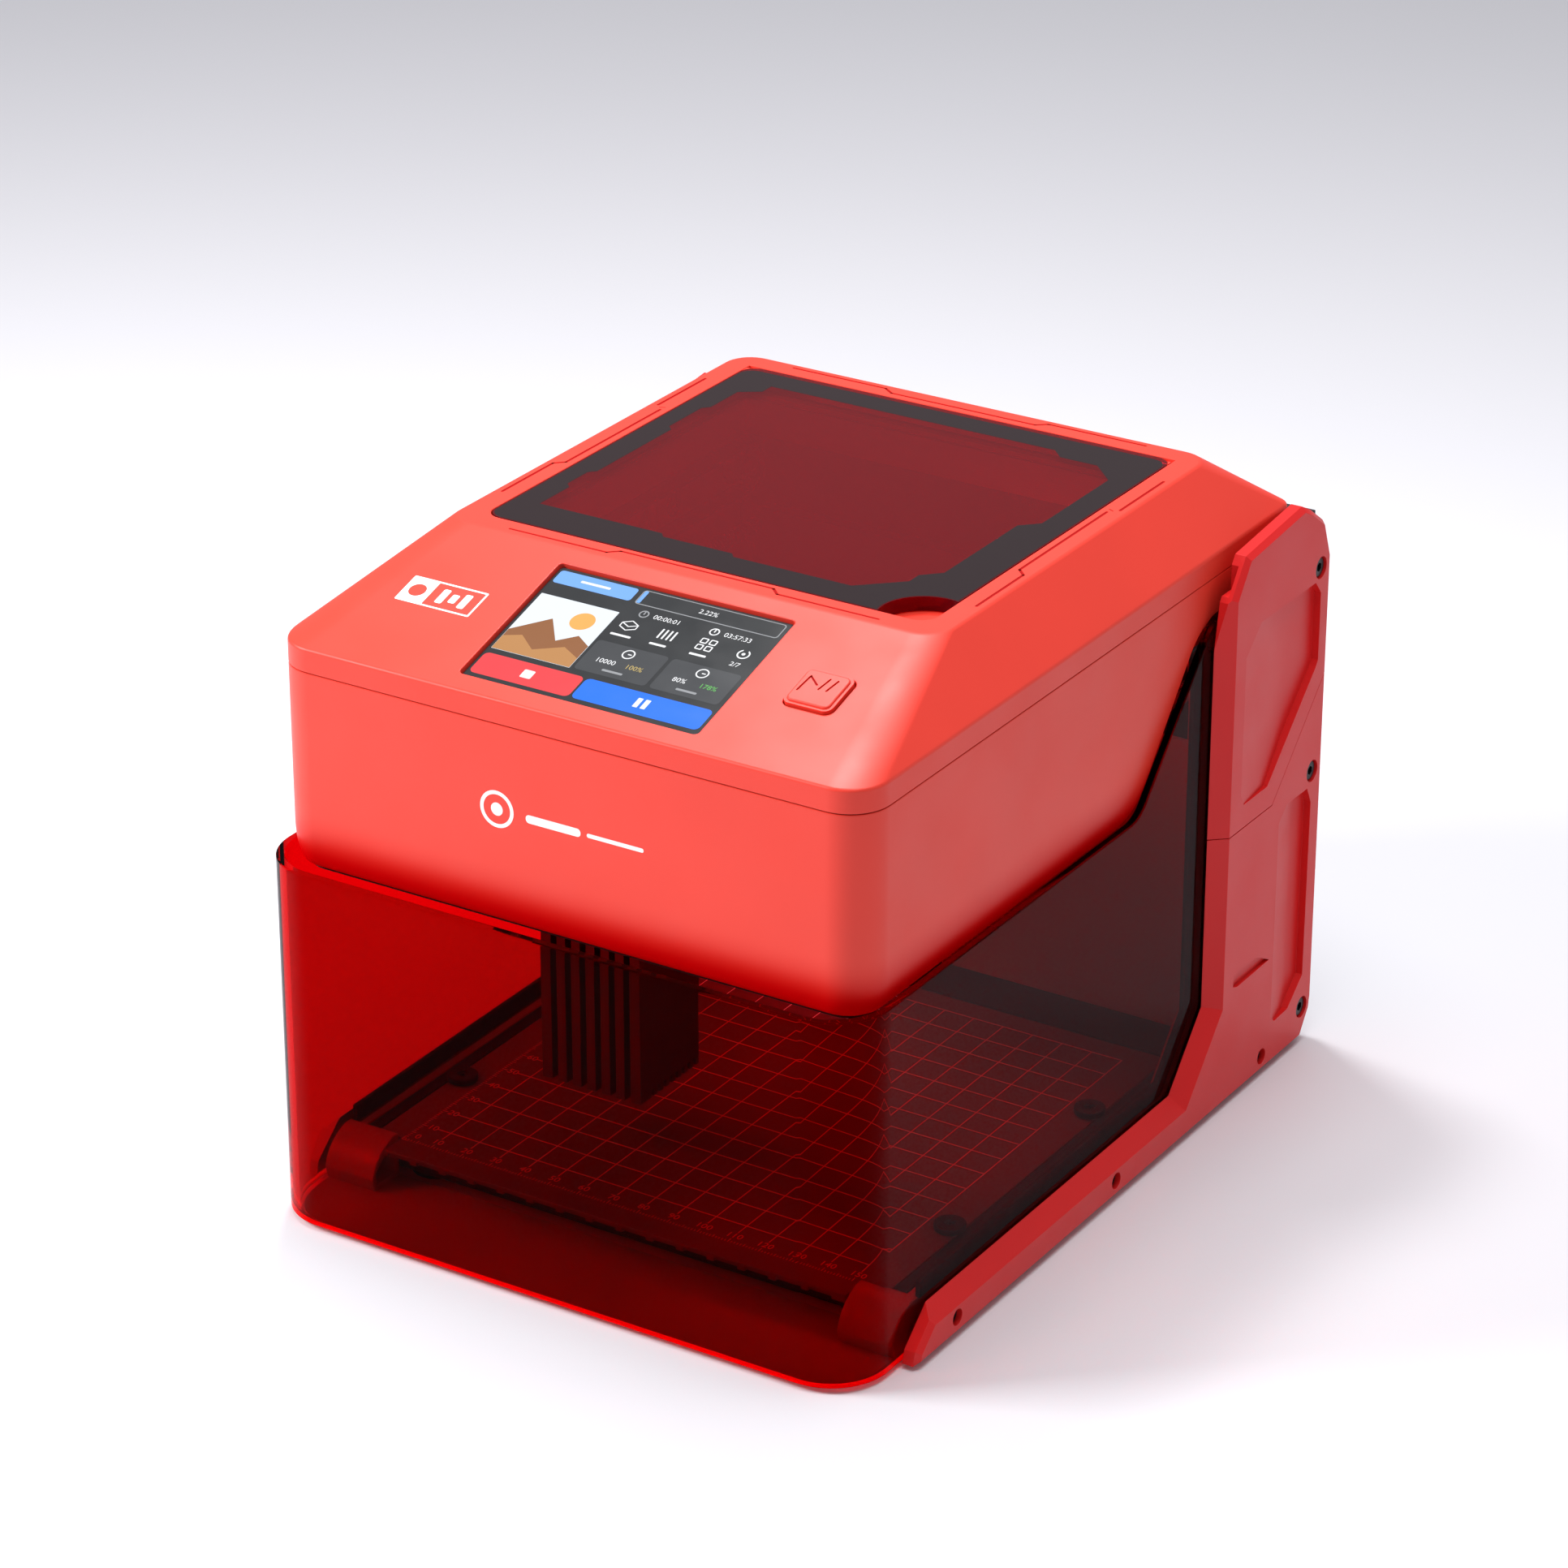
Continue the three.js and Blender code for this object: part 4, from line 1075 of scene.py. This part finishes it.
# %% Printed marks
print_white = finish("print_white", (0.86, 0.84, 0.84), 0.45)
drift(print_white, 0.3, 0.4, 0.5)
badge_at = {"x": -59.4, "y": 33.0}
badge = slab(-12.2, 12.2, -5.4, 5.4, 0.01, 0.05, 0.5)
badge = carve(badge, slab(-3.6, 11.6, -4.8, 4.8, -1, 1, 0.3))
badge = carve(badge, post(2.6, -1, 1, (-8, 0), sides=48))
for x, tall in ((0.4, 3.0), (4.0, 1.8), (7.6, 3.0)):
    badge = merge(badge, slab(x - 1.1, x + 1.1, -tall, tall, 0.01, 0.05, 0.5))
piece("badge_print", on_slope(badge, badge_at), "base", print_white)

front = housing_low.y - 0.05
mark = annulus(5.4, 4.3, front, front + 0.04, (-20.3, 142.5), "y", 64)
mark = merge(mark, post(1.9, front, front + 0.04, (-20.3, 142.5), "y", 40))
mark = merge(
    mark,
    slab(-11, 6.5, 140.9, 143.3, front, front + 0.04, 1.1, axis="y"),
    slab(8.5, 26.4, 141.5, 142.7, front, front + 0.04, 0.55, axis="y"),
)
piece("front_print", mark, "base", print_white)
print("prints ready")

# %% [markdown]
# ## Side covers, frames and their screws
# The covers carry shallow recessed panels, so most of their edges are broken with a
# small radius. Each screw is a socket head with a hexagonal recess.

# %% Side covers and frames
for side in ("right", "left"):
    for node in (f"side_cover_upper_{side}", f"side_cover_lower_{side}"):
        eased(node, cover_red, 0.7, 3, 24)
    eased(f"side_frame_{side}", deep_red, 0.4, 2, 40)
    eased(f"rail_end_cap_{side}", deep_red, 0.6, 3, 30)


def socket_head(radius, height, hex_r, low, centre, axis):
    """A socket-head screw seen from its end, pointing up the axis."""
    head = post(radius, low, low + height, centre, axis, 32, 0.25)
    return carve(head, post(hex_r, low + height * 0.35, low + height + 1, centre, axis, 6))


SCREW_PLACES = [(120.6, 154.5), (120.6, 90.0), (120.6, 12.2), (95.2, 6.9), (6.7, 6.9), (-82.0, 6.9)]
heads = None
for index, place_yz in enumerate(SCREW_PLACES):
    sunk = 100.2 if index < 3 else 99.4
    radius = 2.9 if index < 3 else 2.2
    head = socket_head(radius, 1.7, radius * 0.5, sunk, place_yz, "x")
    heads = head if heads is None else merge(heads, head)
other_heads = mirrored(heads)
piece("side_screws_right", heads, "base", screw_black)
piece("side_screws_left", other_heads, "base", screw_black)

# %% [markdown]
# A soft black seal lines the mouth of each side frame and closes the gap to the visor.

# %% Light seals
path = [(64.6, 149), (64.6, 33.6), (47, 13.6), (-89, 13.6)]
inner = [(59.2, 149), (59.2, 35.6), (44.6, 19.0), (-89, 19.0)]
seal = raise_solid(flat_face([*path, *reversed(inner)]), 92.4, 94.0, "x", 0.5, 2)
other_seal = mirrored(seal)
piece("light_seal_right", seal, "base", rubber)
piece("light_seal_left", other_seal, "base", rubber)
print("sides ready")

# %% [markdown]
# ## Bed and ruler
# The bed is a black plate with a printed ruler: 10 mm squares, millimetre ticks along
# the front and left, and figures just inside them. A dark red apron lies in front of it,
# behind the visor, and four washers with screws hold it down.

# %% Bed
bed_black = finish("bed_black", (0.17, 0.14, 0.145), 0.5, Specular_IOR_Level=0.3)
drift(bed_black, 0.05, 0.46, 0.56)
grain(bed_black, 1.8, 0.004)
eased("bed_plate", bed_black, 0.3, 2, 50)
eased("base_tray", black_paint, 0.3, 2, 50)
tray_front = place("base_tray")[0].y
INSET = 3.6
apron = rectangle(
    visor_low.x + INSET, visor_high.x - INSET, visor_low.y + INSET, tray_front - 0.2
)
apron = flat_face(apron, BEND_R - INSET, 12, (0, 1))
apron = break_edges(raise_solid(apron, 0.4, 1.6), 0.25, 2, 50)
piece("base_apron", apron, "base", deep_red)
RULER_X, RULER_Y, SPAN = -76.0, -90.0, 150
INK = (bed_high.z + 0.01, bed_high.z + 0.05)
marks = []
LINE, FINE, START, FIGURE = 0.17, 0.1, 5.6, 3.5
for step in range(1, 16):
    x, y = RULER_X + 10 * step, RULER_Y + 10 * step
    marks.append((x - LINE, x + LINE, RULER_Y + START, RULER_Y + SPAN, *INK))
    marks.append((RULER_X + START, RULER_X + SPAN, y - LINE, y + LINE, *INK))
for step in range(0, SPAN + 1):
    long = 1.9 if step % 10 == 0 else (1.4 if step % 5 == 0 else 0.9)
    x, y = RULER_X + step, RULER_Y + step
    marks.append((x - FINE, x + FINE, RULER_Y, RULER_Y + long, *INK))
    marks.append((RULER_X, RULER_X + long, y - FINE, y + FINE, *INK))
grid = blocks(marks)
for step in range(0, 16):
    text = str(step * 10)
    if step:
        grid = merge(grid, numeral(text, FIGURE, RULER_X + 10 * step, RULER_Y + 3.7, *INK))
        grid = merge(grid, numeral(text, FIGURE, RULER_X + 3.9, RULER_Y + 10 * step, *INK))
    else:
        grid = merge(grid, numeral(text, FIGURE, RULER_X + 3.2, RULER_Y + 3.4, *INK))
ruler_ink = finish("ruler_ink", (0.9, 0.88, 0.86), 0.5)
drift(ruler_ink, 0.2, 0.44, 0.58)
piece("bed_ruler", grid, "base", ruler_ink)
for number, (x, y) in enumerate(((-81.6, -52), (81.6, -52), (-81.6, 27), (81.6, 27)), 1):
    washer = break_edges(copy_of(f"bed_washer_{number}"), 0.3, 2, 50)
    stand_in(f"bed_washer_{number}_shell", washer, black_plastic, f"bed_washer_{number}")
    screw = socket_head(1.45, 1.4, 0.75, bed_high.z + 0.4, (x, y), "z")
    piece(f"bed_screw_{number}", screw, "base", screw_black)
print("bed ready")

# %% [markdown]
# ## Laser head
# The heat sink is an extruded block with deep grooves in front. Its lower rim is milled
# into short fins, and a slim driver housing closes its back.

# %% Laser head
sink_low, sink_high = place("laser_heatsink")
sink = copy_of("laser_heatsink")
fins = blocks(
    [
        (sink_low.x + 5, sink_high.x + 2, y, y + 1.3, sink_low.z - 1, sink_low.z + 2.4)
        for y in [sink_low.y + 5.5 + 3.1 * k for k in range(8)]
    ]
)
sink = break_edges(carve(sink, fins), 0.3, 2, 50)
stand_in("laser_heatsink_block", sink, anodised, "laser_heatsink")
driver = slab(-40.5, -10.3, -42.6, -38.3, 46, 72, 1.2, 0.5, steps=4)
piece("laser_driver_cover", driver, "laser_module", black_plastic)
eased("laser_nozzle", brass, 0.3, 3)
eased("laser_fan_frame", black_plastic, 0.4, 2, 40)
eased("laser_fan_rotor", black_plastic, 0.2, 2, 40)
eased("x_carriage", anodised, 0.4, 2, 40)

# %% [markdown]
# ## Gantry and drive
# Rods, rails, belts and motors. They are seen through the visor and with the lid open.

# %% Gantry
for node, material, width in (
    ("x_beam", anodised, 0.5),
    ("y_carriage_right", anodised, 0.6), ("y_carriage_left", anodised, 0.6),
    ("x_rod_1", steel, 0.3), ("x_rod_2", steel, 0.3), ("y_rod_right", steel, 0.3),
    ("y_rod_left", steel, 0.3), ("x_motor", black_paint, 0.8), ("y_motor", black_paint, 0.8),
    ("x_belt", rubber, 0.15), ("y_belt_right", rubber, 0.15), ("y_belt_left", rubber, 0.15),
    ("x_motor_pulley", machined, 0.25), ("x_idler_pulley", machined, 0.25),
    ("y_idler_pulley_right", machined, 0.25), ("y_idler_pulley_left", machined, 0.25),
    ("y_drive_shaft", machined, 0.25), ("front_cross_bar", black_paint, 0.5),
    ("rear_cross_bar", black_paint, 0.5),
):
    eased(node, material, width, 2, 40)
print("gantry ready")

# %% [markdown]
# ## Rear and underside
# A black rear panel with slots behind the exhaust fan, a round power inlet, a rocker
# switch and four rubber feet.

# %% Rear and underside
eased("rear_wall", deep_red, 0.3, 2, 40)
eased("exhaust_fan_frame", black_plastic, 0.4, 2, 40)
eased("exhaust_fan_rotor", black_plastic, 0.2, 2, 40)
eased("rear_panel", black_plastic, 0.4, 2, 40)
eased("power_inlet", black_plastic, 0.3, 2, 40)
eased("power_rocker", black_plastic, 0.4, 3, 30)
for number in (1, 2, 3, 4):
    eased(f"foot_{number}", rubber, 0.5, 3, 40)

# %% [markdown]
# Six button-head screws hold the rear panel, and a square data socket sits beside the
# power inlet.

# %% Rear details
panel_low, panel_high = place("rear_panel")
back_y = panel_high.y
rear_screws = None
for x in (-88, 0, 88):
    for z in (12, 158):
        screw = socket_head(2.9, 0.7, 1.3, back_y + 0.02, (-x, z), "y")
        rear_screws = screw if rear_screws is None else merge(rear_screws, screw)
piece("rear_screws", rear_screws, "base", screw_black)
rim = slab(-40.5, -28.5, 16, 27, back_y + 0.02, back_y + 0.7, 1.2, axis="y")
rim = carve(rim, slab(-39, -30, 17.5, 25.5, back_y - 1, back_y + 2, 0.6, axis="y"))
piece("data_socket_rim", rim, "base", steel)
mouth = slab(-39.2, -29.8, 17.3, 25.7, back_y + 0.02, back_y + 0.12, axis="y")
mouth = merge(mouth, slab(-36.8, -32.2, 20.4, 22.0, back_y + 0.13, back_y + 0.5, axis="y"))
piece("data_socket_mouth", mouth, "base", rubber)
print("rear details ready")
for side in ("right", "left"):
    eased(f"visor_hinge_pin_{side}", steel, 0.4, 3, 40)
    eased(f"window_hinge_pin_{side}", steel, 0.2, 2, 40)
print("rear ready")

# %% [markdown]
# ## Floor and light
# The machine stands on a wide pale floor under a pale sky. A large soft key light
# from the left front throws a soft shadow to the right.

# %% Floor
floor_white = finish("pale_floor", (0.80, 0.79, 0.83), 0.6)
drift(floor_white, 0.002, 0.56, 0.66)
floor = bmesh.new()
bmesh.ops.create_grid(floor, x_segments=1, y_segments=1, size=6000)
floor_piece = bpy.data.meshes.new("floor")
bmesh.ops.scale(floor, vec=(MM, MM, MM), verts=floor.verts)
floor.to_mesh(floor_piece)
floor.free()
floor_piece.materials.append(floor_white)
floor_object = bpy.data.objects.new("floor", floor_piece)
bpy.context.scene.collection.objects.link(floor_object)


# %% Lamps and sky
def lamp(name, place_mm, target_mm, size_mm, power, colour=(1, 1, 1)):
    """A rectangular soft box aimed at a point."""
    data = bpy.data.lights.new(name, "AREA")
    data.shape = "RECTANGLE"
    data.size, data.size_y = (s * MM for s in size_mm)
    data.energy = power
    data.color = colour
    made = bpy.data.objects.new(name, data)
    made.location = Vector(place_mm) * MM
    aim = (Vector(target_mm) - Vector(place_mm)).to_track_quat("-Z", "Y")
    made.rotation_mode = "QUATERNION"
    made.rotation_quaternion = aim
    bpy.context.scene.collection.objects.link(made)
    return made


lamp("key", (-760, -640, 700), (-20, -60, 110), (380, 380), 12.5)
lamp("top", (160, -40, 1300), (40, 0, 100), (800, 800), 10.5)
lamp("slope_glow", (-215, 235, 880), (85, -112, 176), (160, 160), 3.8)
sky = bpy.data.worlds.new("studio")
bpy.context.scene.world = sky
sky.use_nodes = True
sky.node_tree.nodes["Background"].inputs["Color"].default_value = (0.83, 0.84, 0.88, 1)
sky.node_tree.nodes["Background"].inputs["Strength"].default_value = 0.45
bpy.context.scene.view_settings.view_transform = "Standard"
bpy.context.scene.view_settings.look = "None"
print("lights ready")
